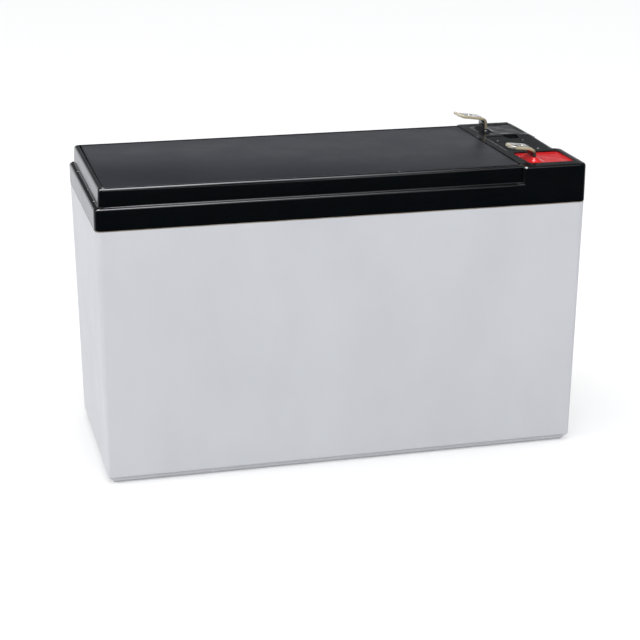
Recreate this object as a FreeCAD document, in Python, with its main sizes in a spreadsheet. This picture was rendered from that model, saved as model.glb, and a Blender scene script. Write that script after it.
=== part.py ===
import FreeCAD, Part
import math
import os
import Sketcher
from FreeCAD import Placement, Rotation, Vector

# Sealed lead battery of six cells. The frame has its origin at the centre of the foot, +X towards the
# terminal end, -Y towards the positive terminal and +Z up. All lengths are in millimetres.

# Sizes that can be set by themselves: name, value and what it measures
driving_sizes = [
    ("body_length", 151.0, "length over the cover's skirt"),
    ("body_width", 65.0, "width over the cover's skirt"),
    ("body_height", 91.6, "height of the cover's top over the floor"),
    ("corner_radius", 2.0, "upright corners of the container and the skirt"),
    ("skirt_drop", 12.2, "from the cover's top down to the skirt's lower edge"),
    ("ledge_drop", 5.4, "from the cover's top down to the ledge round it"),
    ("plateau_inset", 1.6, "width of the ledge"),
    ("plateau_radius", 1.6, "upright corners of the raised top"),
    ("top_edge_radius", 0.8, "rounding of the top's outer edge"),
    ("ledge_edge_radius", 0.6, "rounding of the ledge's outer edge"),
    ("ledge_root_radius", 0.4, "hollow rounding where the top rises from the ledge"),
    ("skirt_edge_radius", 0.35, "rounding of the skirt's lower edge"),
    ("skirt_wall", 1.4, "thickness of the skirt"),
    ("skirt_clearance", 0.1, "gap between the skirt and the container's rim"),
    ("block_length", 20.5, "length of the full-width terminal end"),
    ("block_corner", 0.9, "upright corners where the terminal end steps out"),
    ("bar_width", 2.9, "bar between the vent cover's end and the terminals"),
    ("deck_gap", 10.3, "from a tab's middle to the sunk deck between the tabs"),
    ("deck_drop", 1.1, "depth of the sunk deck"),
    ("deck_radius", 0.8, "inner corners of the sunk deck"),
    ("deck_rim_radius", 0.7, "rounding of the step down to the deck"),
    ("deck_end_radius", 1.0, "rounding of the deck's edge at the end of the cover"),
    ("notch_length", 4.9, "length of the moulding notch beside the deck"),
    ("notch_width", 2.4, "width of the moulding notch"),
    ("notch_radius", 1.15, "ends of the moulding notch"),
    ("notch_drop", 0.5, "depth of the notch below the deck"),
    ("notch_reach", 8.9, "from the end of the cover to the notch's centre"),
    ("well_end_margin", 2.7, "from the end of the cover to a terminal well"),
    ("well_side_margin", 3.4, "from the side of the cover to a terminal well"),
    ("well_inner_margin", 2.7, "between the sunk deck and a terminal well"),
    ("well_radius", 1.3, "upright corners of a terminal well"),
    ("well_depth", 5.5, "depth of a terminal well"),
    ("positive_resin_drop", 0.45, "red resin's surface below the cover's top"),
    ("negative_resin_drop", 0.12, "black resin's surface below the cover's top"),
    ("container_inset", 0.1, "container's side behind the skirt's"),
    ("wall_draft", 0.93, "draft of the container's outside, in degrees"),
    ("cavity_draft", 0.35, "draft of the cell cavities, in degrees"),
    ("outer_wall", 2.5, "container wall at the rim of the cells"),
    ("cross_partition", 1.3, "wall between two cells of one row"),
    ("middle_partition", 1.4, "wall between the two rows"),
    ("cavity_radius", 1.0, "upright corners of the cell cavities"),
    ("floor_thickness", 3.0, "container's floor, foot included"),
    ("plinth_height", 1.6, "height of the narrower foot"),
    ("plinth_inset", 1.0, "foot's side behind the wall's"),
    ("plinth_bevel", 0.7, "bevel where the wall meets the foot"),
    ("plinth_edge", 0.85, "bevel round the bottom"),
    ("plinth_radius", 1.2, "upright corners of the foot"),
    ("rim_drop", 9.0, "from the cover's top down to the container's rim and partitions"),
    ("frame_depth", 1.8, "depth of the cover's frames inside the cells"),
    ("frame_wall", 1.0, "walls of those frames"),
    ("frame_clearance", 0.15, "gap between a frame and the cell's walls"),
    ("adhesive_line", 0.25, "thickness of the adhesive under the skirt"),
    ("adhesive_inset", 0.12, "adhesive's edge behind the skirt's face"),
    ("deck_thickness", 2.0, "cover's floor over the cells"),
    ("vent_rim", 1.1, "rim of the raised top along the vent cover"),
    ("vent_end_rim", 1.5, "rim of the raised top at the vent cover's plain end"),
    ("vent_gap", 0.2, "groove round the vent cover"),
    ("vent_thickness", 1.5, "thickness of the vent cover"),
    ("vent_sink", 0.1, "vent cover's top below the cover's top"),
    ("vent_edge", 0.2, "bevel round the vent cover's top"),
    ("vent_radius", 0.8, "upright corners of the vent cover's seat"),
    ("seat_width", 1.5, "seat under the vent cover's edge"),
    ("vent_rib", 1.6, "ribs that carry the vent cover between the cells"),
    ("vent_shift", 7.0, "from the middle of a cell to its valve"),
    ("chimney_radius", 4.0, "outside radius of a valve chimney"),
    ("chimney_bore", 2.5, "radius of the chimney's gas passage"),
    ("chimney_height", 3.8, "height of a chimney over the cover's floor"),
    ("cap_wall", 1.0, "side wall of a rubber cap"),
    ("cap_top", 1.2, "top of a rubber cap"),
    ("cap_lift", 0.6, "cap's lower edge over the cover's floor"),
    ("cap_edge", 0.4, "bevel round a rubber cap"),
    ("tab_width", 6.35, "width of a push-on tab"),
    ("tab_thickness", 0.8, "thickness of a push-on tab"),
    ("tab_margin", 11.0, "from the side of the cover to a tab's middle"),
    ("post_margin", 10.07, "from the end of the cover to the posts' axes"),
    ("tab_reach", 4.3, "from a post's axis back to its tab's upright"),
    ("tab_foot_end", 4.0, "from a post's axis to the end of the tab's foot"),
    ("tab_foot_bend", 1.0, "bend between foot and upright, on the middle line"),
    ("tab_tip_cut", 1.9, "bevel of the blade's two corners"),
    ("tab_hole_radius", 0.85, "hole in the blade"),
    ("tab_hole_reach", 4.6, "from the blade's tip to its hole, in plan"),
    ("positive_bend", 2.2, "bend between upright and blade, on the middle line"),
    ("positive_bend_rise", 1.3, "start of the positive tab's bend over the cover's top"),
    ("positive_tip_rise", 4.2, "positive blade's tip over the cover's top"),
    ("positive_blade_length", 8.7, "positive blade beyond its upright, in plan"),
    ("negative_bend", 1.6, "bend between upright and blade, on the middle line"),
    ("negative_bend_rise", 2.9, "start of the negative tab's bend over the cover's top"),
    ("negative_tip_rise", 5.85, "negative blade's tip over the cover's top"),
    ("negative_blade_length", 9.5, "negative blade beyond its upright, in plan"),
    ("post_radius", 3.0, "radius of a terminal post"),
    ("post_clearance", 0.3, "gap between a post and its hole in the cover"),
    ("post_lift", 0.9, "tab's foot over the floor of its well"),
    ("spigot_radius", 1.7, "thin end of the post in the tab's foot"),
    ("spigot_proud", 0.6, "thin end standing over the tab's foot"),
    ("ring_radius", 0.75, "radius of the sealing ring's cord"),
    ("plate_end_gap", 2.1, "from a cell's end wall to its plates"),
    ("separator_end_gap", 1.1, "from a cell's end wall to its separators"),
    ("plate_drop", 14.0, "plates' upper edge below the container's rim"),
    ("separator_drop", 12.0, "separators' upper edge below the container's rim"),
    ("positive_plate_share", 0.089, "thickness of a positive plate, in cell widths"),
    ("negative_plate_share", 0.0615, "thickness of a negative plate, in cell widths"),
    ("separator_share", 0.036, "thickness of a glass-mat separator, in cell widths"),
    ("lug_width", 7.0, "width of a lug"),
    ("strap_drop", 10.0, "straps' underside below the container's rim"),
    ("strap_height", 4.5, "height of a strap"),
    ("strap_width", 8.0, "width of a strap"),
    ("positive_overhang", 0.7, "positive strap beyond its outermost plate"),
    ("negative_overhang", 0.25, "negative strap beyond its outermost plate"),
    ("flag_thickness", 3.0, "thickness of a strap's upright flag"),
    ("flag_width", 8.0, "width of a strap's upright flag"),
    ("flag_drop", 2.0, "flags' upper edge below the container's rim"),
    ("flag_clearance", 0.2, "gap between a flag and the partition"),
    ("weld_radius", 2.6, "radius of a weld through a partition"),
    ("weld_drop", 5.0, "welds' axes below the container's rim"),
]

# Sizes worked out from those
derived_sizes = [
    ("half_length", "body_length / 2"),
    ("half_width", "body_width / 2"),
    ("skirt_bottom", "body_height - skirt_drop"),
    ("ledge_height", "body_height - ledge_drop"),
    ("rim_top", "body_height - rim_drop"),
    ("skirt_height", "ledge_height - skirt_bottom"),
    ("plateau_rise", "body_height - ledge_height"),
    ("plateau_half_length", "half_length - plateau_inset"),
    ("plateau_half_width", "half_width - plateau_inset"),
    ("block_start", "half_length - block_length"),
    ("bar_end", "block_start + bar_width"),
    ("tab_side", "half_width - tab_margin"),
    ("deck_half_width", "tab_side - deck_gap"),
    ("deck_end", "half_length + deck_drop"),
    ("notch_x", "half_length - notch_reach"),
    ("notch_half_length", "notch_length / 2"),
    ("notch_half_width", "notch_width / 2"),
    ("notch_depth", "deck_drop + notch_drop"),
    ("well_end", "half_length - well_end_margin"),
    ("well_side", "half_width - well_side_margin"),
    ("well_inner", "deck_half_width + well_inner_margin"),
    ("well_floor", "body_height - well_depth"),
    ("positive_resin_height", "well_depth - positive_resin_drop"),
    ("negative_resin_height", "well_depth - negative_resin_drop"),
    ("container_half_length", "half_length - container_inset"),
    ("container_half_width", "half_width - container_inset"),
    ("shoulder", "skirt_bottom - adhesive_line"),
    ("wall_height", "shoulder - plinth_height"),
    ("draft_inset", "wall_height * tan(wall_draft)"),
    ("plinth_half_length", "container_half_length - draft_inset - plinth_inset"),
    ("plinth_half_width", "container_half_width - draft_inset - plinth_inset"),
    ("skirt_inner_half_length", "half_length - skirt_wall"),
    ("skirt_inner_half_width", "half_width - skirt_wall"),
    ("skirt_inner_radius", "max(corner_radius - skirt_wall; 0.3)"),
    ("rim_half_length", "skirt_inner_half_length - skirt_clearance"),
    ("rim_half_width", "skirt_inner_half_width - skirt_clearance"),
    ("rim_height", "rim_top - shoulder"),
    ("cells_half_length", "container_half_length - outer_wall"),
    ("cells_half_width", "container_half_width - outer_wall"),
    ("cell_length", "(2 * cells_half_length - 2 * cross_partition) / 3"),
    ("cell_width", "(2 * cells_half_width - middle_partition) / 2"),
    ("cell_half_length", "cell_length / 2"),
    ("cell_half_width", "cell_width / 2"),
    ("cell_pitch", "cell_length + cross_partition"),
    ("half_pitch", "cell_pitch / 2"),
    ("row_y", "(middle_partition + cell_width) / 2"),
    ("cavity_depth", "rim_top - floor_thickness"),
    ("frame_half_length", "cell_half_length - frame_clearance"),
    ("frame_half_width", "cell_half_width - frame_clearance"),
    ("opening_half_length", "frame_half_length - frame_wall"),
    ("opening_half_width", "frame_half_width - frame_wall"),
    ("adhesive_half_length", "half_length - adhesive_inset"),
    ("adhesive_half_width", "half_width - adhesive_inset"),
    ("vent_floor", "rim_top + deck_thickness"),
    ("vent_seat", "body_height - vent_sink - vent_thickness"),
    ("vent_seat_depth", "vent_sink + vent_thickness"),
    ("vent_pocket_depth", "vent_seat - vent_floor"),
    ("vent_hole_half_length", "plateau_half_length - vent_end_rim"),
    ("vent_hole_half_width", "plateau_half_width - vent_rim"),
    ("vent_hole_end", "block_start - vent_gap"),
    ("vent_plate_half_length", "vent_hole_half_length - vent_gap"),
    ("vent_plate_half_width", "vent_hole_half_width - vent_gap"),
    ("vent_plate_end", "vent_hole_end - vent_gap"),
    ("vent_pocket_half_length", "vent_hole_half_length - seat_width"),
    ("vent_pocket_half_width", "vent_hole_half_width - seat_width"),
    ("vent_pocket_end", "vent_hole_end - seat_width"),
    ("vent_rib_half", "vent_rib / 2"),
    ("cap_outer", "chimney_radius + cap_wall"),
    ("cap_bottom", "vent_floor + cap_lift"),
    ("chimney_top", "vent_floor + chimney_height"),
    ("cap_height", "chimney_top + cap_top"),
    ("post_x", "half_length - post_margin"),
    ("lug_offset", "post_x - cell_pitch"),
    ("upright_x", "post_x - tab_reach"),
    ("positive_tip_x", "upright_x - positive_blade_length"),
    ("negative_tip_x", "upright_x - negative_blade_length"),
    ("positive_upright_top", "body_height + positive_bend_rise"),
    ("negative_upright_top", "body_height + negative_bend_rise"),
    ("positive_tip_height", "body_height + positive_tip_rise"),
    ("negative_tip_height", "body_height + negative_tip_rise"),
    ("positive_hole_x", "positive_tip_x + tab_hole_reach"),
    ("negative_hole_x", "negative_tip_x + tab_hole_reach"),
    ("tab_half_width", "tab_width / 2"),
    ("tab_half_thickness", "tab_thickness / 2"),
    ("foot_end_x", "post_x + tab_foot_end"),
    ("blade_hole_depth", "2 * tab_width"),
    ("foot_bottom", "well_floor + post_lift"),
    ("foot_level", "foot_bottom + tab_half_thickness"),
    ("spigot_top", "foot_bottom + tab_thickness + spigot_proud"),
    ("post_hole_radius", "post_radius + post_clearance"),
    ("ring_middle_radius", "post_radius + ring_radius"),
    ("ring_seat_radius", "post_radius + 2 * ring_radius"),
    ("ring_seat_depth", "2 * ring_radius"),
    ("ring_level", "well_floor - ring_radius"),
    ("positive_plate_thickness", "cell_width * positive_plate_share"),
    ("negative_plate_thickness", "cell_width * negative_plate_share"),
    ("separator_thickness", "cell_width * separator_share"),
    ("separator_length", "cell_length - 2 * separator_end_gap"),
    ("plate_bottom", "floor_thickness + separator_thickness"),
    ("plate_top", "rim_top - plate_drop"),
    ("separator_top", "rim_top - separator_drop"),
    ("strap_bottom", "rim_top - strap_drop"),
    ("strap_top", "strap_bottom + strap_height"),
    ("flag_top", "rim_top - flag_drop"),
    ("weld_height", "rim_top - weld_drop"),
    ("plate_step", "(positive_plate_thickness + negative_plate_thickness) / 2 + separator_thickness"),
    ("positive_half_thickness", "positive_plate_thickness / 2"),
    ("wrap_half", "positive_half_thickness + separator_thickness"),
    ("plate_half_length", "cell_half_length - plate_end_gap"),
    ("lug_inner", "lug_offset - lug_width / 2"),
    ("lug_outer", "lug_offset + lug_width / 2"),
    ("strap_inner", "lug_offset - strap_width / 2"),
    ("strap_outer", "lug_offset + strap_width / 2"),
    ("positive_strap_half", "3 * plate_step + positive_half_thickness + positive_overhang"),
    ("negative_strap_half", "4 * plate_step + negative_plate_thickness / 2 + negative_overhang"),
    ("end_flag_outer", "cell_half_length - flag_clearance"),
    ("end_flag_inner", "end_flag_outer - flag_thickness"),
    ("side_flag_outer", "cell_half_width - flag_clearance"),
    ("side_flag_inner", "side_flag_outer - flag_thickness"),
    ("flag_half_width", "flag_width / 2"),
    ("flag_strap_inner", "lug_offset - flag_half_width"),
    ("flag_strap_outer", "lug_offset + flag_half_width"),
    ("cross_weld_half", "cross_partition / 2 + flag_clearance"),
    ("middle_weld_half", "middle_partition / 2 + flag_clearance"),
    ("weld_hole_reach", "cell_pitch + 2 * flag_thickness"),
    ("middle_weld_reach", "middle_partition + 2 * flag_thickness"),
]

doc = FreeCAD.newDocument("SealedBattery")
sheet = doc.addObject("Spreadsheet::Sheet", "sizes")
row = 0
for name, value, meaning in driving_sizes:
    row += 1
    sheet.set(f"A{row}", meaning)
    sheet.set(f"B{row}", str(value))
    sheet.setAlias(f"B{row}", name)
for name, rule in derived_sizes:
    row += 1
    sheet.set(f"B{row}", "=" + rule)
    sheet.setAlias(f"B{row}", name)
doc.recompute()


def amount(terms):
    # The value of sizes that are added and taken away, such as "cell_pitch + lug_offset"
    total = 0.0
    sign = 1.0
    for word in terms.split():
        if word in "+-":
            sign = 1.0 if word == "+" else -1.0
        else:
            total += sign * float(sheet.get(word))
            sign = 1.0
    return total


def rule(terms):
    # The same sizes as an expression for a property
    return " ".join(word if word in "+-" else "sizes." + word for word in terms.split())


def flipped(terms):
    # The same sizes with their signs turned round
    swapped = {"+": "-", "-": "+"}
    text = terms if terms.startswith("- ") else "+ " + terms
    return " ".join(swapped.get(word, word) for word in text.split()).removeprefix("+ ")


def new_body(label):
    body = doc.addObject("PartDesign::Body", label)
    body.Label = label
    return body


def new_sketch(body, name, role="XY_Plane", level=None):
    sketch = body.newObject("Sketcher::SketchObject", name)
    plane = next(item for item in body.Origin.OriginFeatures if item.Role == role)
    sketch.AttachmentSupport = [(plane, "")]
    sketch.MapMode = "FlatFace"
    if level:
        sketch.setExpression(".AttachmentOffset.Base.z", rule(level))
    return sketch


def bind(sketch, kind, *places, terms):
    # One dimension of a sketch, tied to the sheet
    index = sketch.addConstraint(Sketcher.Constraint(kind, *places, amount(terms)))
    sketch.setExpression(f"Constraints[{index}]", rule(terms))


def add_rectangle(sketch, left, right, front, rear, radii=(None, None, None, None)):
    # An upright rectangle. radii are those of the corners front right, rear right, rear left and front left
    sides = [amount(left), amount(right), amount(front), amount(rear)]
    rounds = [amount(radius) if radius else 0.0 for radius in radii]
    corners = [(sides[1], sides[2]), (sides[1], sides[3]), (sides[0], sides[3]), (sides[0], sides[2])]
    inward = [(-1, 1), (-1, -1), (1, -1), (1, 1)]
    lines = []
    arcs = []
    for number in range(4):
        start = Vector(*corners[number - 1], 0)
        end = Vector(*corners[number], 0)
        along = (end - start).normalize()
        start += along * rounds[number - 1]
        end -= along * rounds[number]
        lines.append(sketch.addGeometry(Part.LineSegment(start, end)))
        arc = None
        if radii[number]:
            centre = Vector(
                corners[number][0] + inward[number][0] * rounds[number],
                corners[number][1] + inward[number][1] * rounds[number],
                0,
            )
            turn = (number - 1) * math.pi / 2
            circle = Part.Circle(centre, Vector(0, 0, 1), rounds[number])
            arc = sketch.addGeometry(Part.ArcOfCircle(circle, turn, turn + math.pi / 2))
        arcs.append(arc)
    for number in range(4):
        following = lines[(number + 1) % 4]
        if arcs[number] is None:
            sketch.addConstraint(Sketcher.Constraint("Coincident", lines[number], 2, following, 1))
        else:
            sketch.addConstraint(Sketcher.Constraint("Tangent", lines[number], 2, arcs[number], 1))
            sketch.addConstraint(Sketcher.Constraint("Tangent", arcs[number], 2, following, 1))
            bind(sketch, "Radius", arcs[number], terms=radii[number])
        direction = "Horizontal" if number % 2 == 0 else "Vertical"
        sketch.addConstraint(Sketcher.Constraint(direction, lines[number]))
    bind(sketch, "DistanceY", -1, 1, lines[0], 1, terms=front)
    bind(sketch, "DistanceX", -1, 1, lines[1], 1, terms=right)
    bind(sketch, "DistanceY", -1, 1, lines[2], 1, terms=rear)
    bind(sketch, "DistanceX", -1, 1, lines[3], 1, terms=left)


def add_circle(sketch, across, up, radius):
    centre = Vector(amount(across), amount(up), 0)
    circle = sketch.addGeometry(Part.Circle(centre, Vector(0, 0, 1), amount(radius)))
    bind(sketch, "DistanceX", -1, 1, circle, 3, terms=across)
    bind(sketch, "DistanceY", -1, 1, circle, 3, terms=up)
    bind(sketch, "Radius", circle, terms=radius)


def add_outline(sketch, corners):
    # A closed outline with straight sides, each corner tied to the sheet. None puts it on an axis
    places = [Vector(amount(across) if across else 0, amount(up) if up else 0, 0) for across, up in corners]
    first = len(sketch.Geometry)
    count = len(corners)
    for number in range(count):
        sketch.addGeometry(Part.LineSegment(places[number], places[(number + 1) % count]))
    for number, (across, up) in enumerate(corners):
        line = first + number
        following = first + (number + 1) % count
        sketch.addConstraint(Sketcher.Constraint("Coincident", line, 2, following, 1))
        if across:
            bind(sketch, "DistanceX", -1, 1, line, 1, terms=across)
        else:
            sketch.addConstraint(Sketcher.Constraint("PointOnObject", line, 1, -2))
        if up:
            bind(sketch, "DistanceY", -1, 1, line, 1, terms=up)
        else:
            sketch.addConstraint(Sketcher.Constraint("PointOnObject", line, 1, -1))


def pad(body, sketch, height, down=False, draft=None):
    feature = body.newObject("PartDesign::Pad", sketch.Name + "Pad")
    feature.Profile = sketch
    feature.setExpression("Length", rule(height))
    feature.Reversed = down
    if draft:
        feature.setExpression("TaperAngle", rule(draft))
    sketch.Visibility = False
    return feature


def pocket(body, sketch, depth, up=False, draft=None, both=False):
    feature = body.newObject("PartDesign::Pocket", sketch.Name + "Pocket")
    feature.Profile = sketch
    feature.setExpression("Length", rule(depth))
    feature.Reversed = up
    if both:
        feature.SideType = "Symmetric"
    if draft:
        feature.setExpression("TaperAngle", rule(draft))
    sketch.Visibility = False
    return feature


def edge_names(feature, wanted):
    # The edges whose middle point passes the test
    names = []
    for number, edge in enumerate(feature.Shape.Edges, start=1):
        middle = edge.valueAt((edge.FirstParameter + edge.LastParameter) / 2)
        if wanted(edge, middle):
            names.append(f"Edge{number}")
    return names


def soften(body, kind, name, size, wanted):
    # A fillet or a chamfer on the edges that pass the test
    doc.recompute()
    base = body.Tip
    feature = body.newObject("PartDesign::" + kind, name)
    feature.Base = (base, edge_names(base, wanted))
    feature.setExpression("Radius" if kind == "Fillet" else "Size", rule(size))
    return feature


close = 0.01


def near(first, second):
    return abs(first - second) < close


def level_edges(height):
    # A test for the edges that lie flat at this height, where None is the floor
    level = amount(height) if height else 0

    def test(edge, middle):
        return near(edge.BoundBox.ZMin, level) and near(edge.BoundBox.ZMax, level)

    return test


columns = ["cell_pitch", None, "- cell_pitch"]


def shifted(centre, terms):
    # terms beyond a column's middle, where the middle column has no term of its own
    if centre is None:
        return terms
    return centre + " " + (terms if terms.startswith("- ") else "+ " + terms)


all_corners = ("corner_radius",) * 4


def make_container():
    body = new_body("container")
    length, width = "container_half_length", "container_half_width"
    wall = new_sketch(body, "ContainerWall", level="shoulder")
    add_rectangle(wall, "- " + length, length, "- " + width, width, all_corners)
    pad(body, wall, "wall_height", down=True, draft="- wall_draft")
    plinth = new_sketch(body, "Plinth")
    length, width = "plinth_half_length", "plinth_half_width"
    add_rectangle(plinth, "- " + length, length, "- " + width, width, ("plinth_radius",) * 4)
    pad(body, plinth, "floor_thickness")
    soften(body, "Chamfer", "PlinthEdge", "plinth_edge", level_edges(None))
    step = amount("plinth_inset") / 2
    foot_x, foot_y = amount("plinth_half_length") + step, amount("plinth_half_width") + step

    def wall_foot(edge, middle):
        outside = abs(middle.x) > foot_x or abs(middle.y) > foot_y
        return near(middle.z, amount("plinth_height")) and outside

    soften(body, "Chamfer", "WallFoot", "plinth_bevel", wall_foot)
    rim = new_sketch(body, "Rim", level="shoulder")
    length, width = "rim_half_length", "rim_half_width"
    add_rectangle(rim, "- " + length, length, "- " + width, width, ("skirt_inner_radius",) * 4)
    pad(body, rim, "rim_height")
    cavities = new_sketch(body, "Cavities", level="rim_top")
    for column in columns:
        for side in ("- row_y", "row_y"):
            add_rectangle(
                cavities,
                shifted(column, "- cell_half_length"),
                shifted(column, "cell_half_length"),
                side + " - cell_half_width",
                side + " + cell_half_width",
                ("cavity_radius",) * 4,
            )
    pocket(body, cavities, "cavity_depth", draft="- cavity_draft")
    cross_holes = new_sketch(body, "CrossWeldHoles", role="YZ_Plane")
    for side in ("- row_y", "row_y"):
        add_circle(cross_holes, side, "weld_height", "weld_radius")
    pocket(body, cross_holes, "weld_hole_reach", both=True)
    middle_hole = new_sketch(body, "MiddleWeldHole", role="XZ_Plane")
    add_circle(middle_hole, "- post_x", "weld_height", "weld_radius")
    pocket(body, middle_hole, "middle_weld_reach", both=True)
    return body


def cover_outside(body):
    skirt = new_sketch(body, "Skirt", level="skirt_bottom")
    add_rectangle(skirt, "- half_length", "half_length", "- half_width", "half_width", all_corners)
    pad(body, skirt, "skirt_height")
    plateau = new_sketch(body, "Plateau", level="ledge_height")
    round_left = (None, None, "plateau_radius", "plateau_radius")
    add_rectangle(
        plateau,
        "- plateau_half_length",
        "bar_end",
        "- plateau_half_width",
        "plateau_half_width",
        round_left,
    )
    pad(body, plateau, "plateau_rise")
    block = new_sketch(body, "TerminalBlock", level="ledge_height")
    block_corners = ("corner_radius", "corner_radius", "block_corner", "block_corner")
    add_rectangle(block, "block_start", "half_length", "- half_width", "half_width", block_corners)
    pad(body, block, "plateau_rise")
    soften(body, "Fillet", "TopEdge", "top_edge_radius", level_edges("body_height"))
    root_x, root_y = amount("plateau_half_length") + close, amount("plateau_half_width") + close
    rim_x, rim_y = amount("half_length - corner_radius"), amount("half_width") - close
    flat = level_edges("ledge_height")

    def ledge_root(edge, middle):
        return flat(edge, middle) and middle.x > -root_x and abs(middle.y) < root_y

    def ledge_rim(edge, middle):
        outside = middle.x < -rim_x or abs(middle.y) > rim_y
        return flat(edge, middle) and outside and middle.x < amount("block_start") - close

    soften(body, "Fillet", "LedgeRoot", "ledge_root_radius", ledge_root)
    soften(body, "Fillet", "LedgeRim", "ledge_edge_radius", ledge_rim)
    soften(body, "Fillet", "SkirtEdge", "skirt_edge_radius", level_edges("skirt_bottom"))


def cover_underside(body):
    # The skirt goes over the container's rim, and a frame on the cover's floor goes into each cell
    hollow = new_sketch(body, "SkirtHollow", level="skirt_bottom")
    length, width = "skirt_inner_half_length", "skirt_inner_half_width"
    add_rectangle(hollow, "- " + length, length, "- " + width, width, ("skirt_inner_radius",) * 4)
    pocket(body, hollow, "rim_top - skirt_bottom", up=True)
    frames = new_sketch(body, "CellFrames", level="rim_top")
    for column in columns:
        for side in ("- row_y", "row_y"):
            for outline in ("frame", "opening"):
                add_rectangle(
                    frames,
                    shifted(column, f"- {outline}_half_length"),
                    shifted(column, f"{outline}_half_length"),
                    f"{side} - {outline}_half_width",
                    f"{side} + {outline}_half_width",
                    ("cavity_radius",) * 4,
                )
    pad(body, frames, "frame_depth", down=True)


def cover_vents(body):
    seat = new_sketch(body, "VentSeat", level="body_height")
    width = "vent_hole_half_width"
    seat_corners = ("vent_radius",) * 4
    add_rectangle(seat, "- vent_hole_half_length", "vent_hole_end", "- " + width, width, seat_corners)
    pocket(body, seat, "vent_seat_depth")
    bays = new_sketch(body, "VentBays", level="vent_seat")
    lefts = ["half_pitch + vent_rib_half", "- half_pitch + vent_rib_half", "- vent_pocket_half_length"]
    rights = ["vent_pocket_end", "half_pitch - vent_rib_half", "- half_pitch - vent_rib_half"]
    for left, right in zip(lefts, rights):
        add_rectangle(bays, left, right, "- vent_pocket_half_width", "- vent_rib_half", seat_corners)
        add_rectangle(bays, left, right, "vent_rib_half", "vent_pocket_half_width", seat_corners)
    pocket(body, bays, "vent_pocket_depth")
    chimneys = new_sketch(body, "Chimneys", level="vent_floor")
    passages = new_sketch(body, "GasPassages", level="chimney_top")
    for column in columns:
        for side in ("- row_y", "row_y"):
            add_circle(chimneys, shifted(column, "- vent_shift"), side, "chimney_radius")
            add_circle(passages, shifted(column, "- vent_shift"), side, "chimney_bore")
    pad(body, chimneys, "chimney_height")
    pocket(body, passages, "chimney_height + deck_thickness")


def cover_terminals(body):
    deck = new_sketch(body, "SunkDeck", level="body_height")
    deck_corners = (None, None, "deck_radius", "deck_radius")
    add_rectangle(deck, "bar_end", "deck_end", "- deck_half_width", "deck_half_width", deck_corners)
    pocket(body, deck, "deck_drop")
    low = level_edges("body_height - deck_drop")

    def deck_edge(edge, middle):
        return low(edge, middle) and near(middle.x, amount("half_length"))

    soften(body, "Fillet", "DeckEnd", "deck_end_radius", deck_edge)
    rim_x, rim_y = amount("bar_end") - close, amount("deck_half_width") + close
    flat = level_edges("body_height")

    def deck_rim(edge, middle):
        return flat(edge, middle) and middle.x > rim_x and abs(middle.y) < rim_y

    soften(body, "Fillet", "DeckRim", "deck_rim_radius", deck_rim)
    notch = new_sketch(body, "DeckNotch", level="body_height")
    add_rectangle(
        notch,
        "notch_x - notch_half_length",
        "notch_x + notch_half_length",
        "deck_half_width - notch_half_width",
        "deck_half_width + notch_half_width",
        ("notch_radius",) * 4,
    )
    pocket(body, notch, "notch_depth")
    wells = new_sketch(body, "TerminalWells", level="body_height")
    well_corners = ("well_radius",) * 4
    add_rectangle(wells, "bar_end", "well_end", "- well_side", "- well_inner", well_corners)
    add_rectangle(wells, "bar_end", "well_end", "well_inner", "well_side", well_corners)
    pocket(body, wells, "well_depth")
    seats = new_sketch(body, "RingSeats", level="well_floor")
    holes = new_sketch(body, "PostHoles", level="well_floor")
    for side in ("- tab_side", "tab_side"):
        add_circle(seats, "post_x", side, "ring_seat_radius")
        add_circle(holes, "post_x", side, "post_hole_radius")
    pocket(body, seats, "ring_seat_depth")
    pocket(body, holes, "well_floor - rim_top")


def make_cover():
    body = new_body("cover")
    cover_outside(body)
    cover_underside(body)
    cover_vents(body)
    cover_terminals(body)
    return body


def make_adhesive():
    body = new_body("cover_adhesive")
    line = new_sketch(body, "AdhesiveLine", level="shoulder")
    length, width = "adhesive_half_length", "adhesive_half_width"
    add_rectangle(line, "- " + length, length, "- " + width, width, all_corners)
    length, width = "skirt_inner_half_length", "skirt_inner_half_width"
    add_rectangle(line, "- " + length, length, "- " + width, width, ("skirt_inner_radius",) * 4)
    pad(body, line, "adhesive_line")
    return body


def make_vent_cover():
    body = new_body("vent_cover")
    plate = new_sketch(body, "VentPlate", level="vent_seat")
    width = "vent_plate_half_width"
    corners = ("vent_radius",) * 4
    add_rectangle(plate, "- vent_plate_half_length", "vent_plate_end", "- " + width, width, corners)
    pad(body, plate, "vent_thickness")
    soften(body, "Chamfer", "VentPlateEdge", "vent_edge", level_edges("vent_seat + vent_thickness"))
    return body


def make_turned(label, corners, across=None, along=None):
    # A round piece, from its half outline of radius and height
    body = new_body(label)
    outline = new_sketch(body, label + "_outline", role="XZ_Plane")
    add_outline(outline, corners)
    turned = body.newObject("PartDesign::Revolution", label + "_turned")
    turned.Profile = outline
    turned.ReferenceAxis = (outline, ["V_Axis"])
    turned.Angle = 360.0
    if across:
        body.setExpression(".Placement.Base.x", rule(across))
    if along:
        body.setExpression(".Placement.Base.y", rule(along))
    return body


def make_valve_caps():
    corners = [
        (None, "chimney_top"),
        ("chimney_radius", "chimney_top"),
        ("chimney_radius", "cap_bottom"),
        ("cap_outer", "cap_bottom"),
        ("cap_outer", "cap_height - cap_edge"),
        ("cap_outer - cap_edge", "cap_height"),
        (None, "cap_height"),
    ]
    places = [(column, "- row_y") for column in columns]
    places += [(column, "row_y") for column in reversed(columns)]
    return [
        make_turned(f"valve_cap_{number}", corners, shifted(column, "- vent_shift"), side)
        for number, (column, side) in enumerate(places, start=1)
    ]


def make_post(label, side):
    corners = [
        (None, "strap_top"),
        ("post_radius", "strap_top"),
        ("post_radius", "foot_bottom"),
        ("spigot_radius", "foot_bottom"),
        ("spigot_radius", "spigot_top"),
        (None, "spigot_top"),
    ]
    return make_turned(label, corners, "post_x", side)


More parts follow.
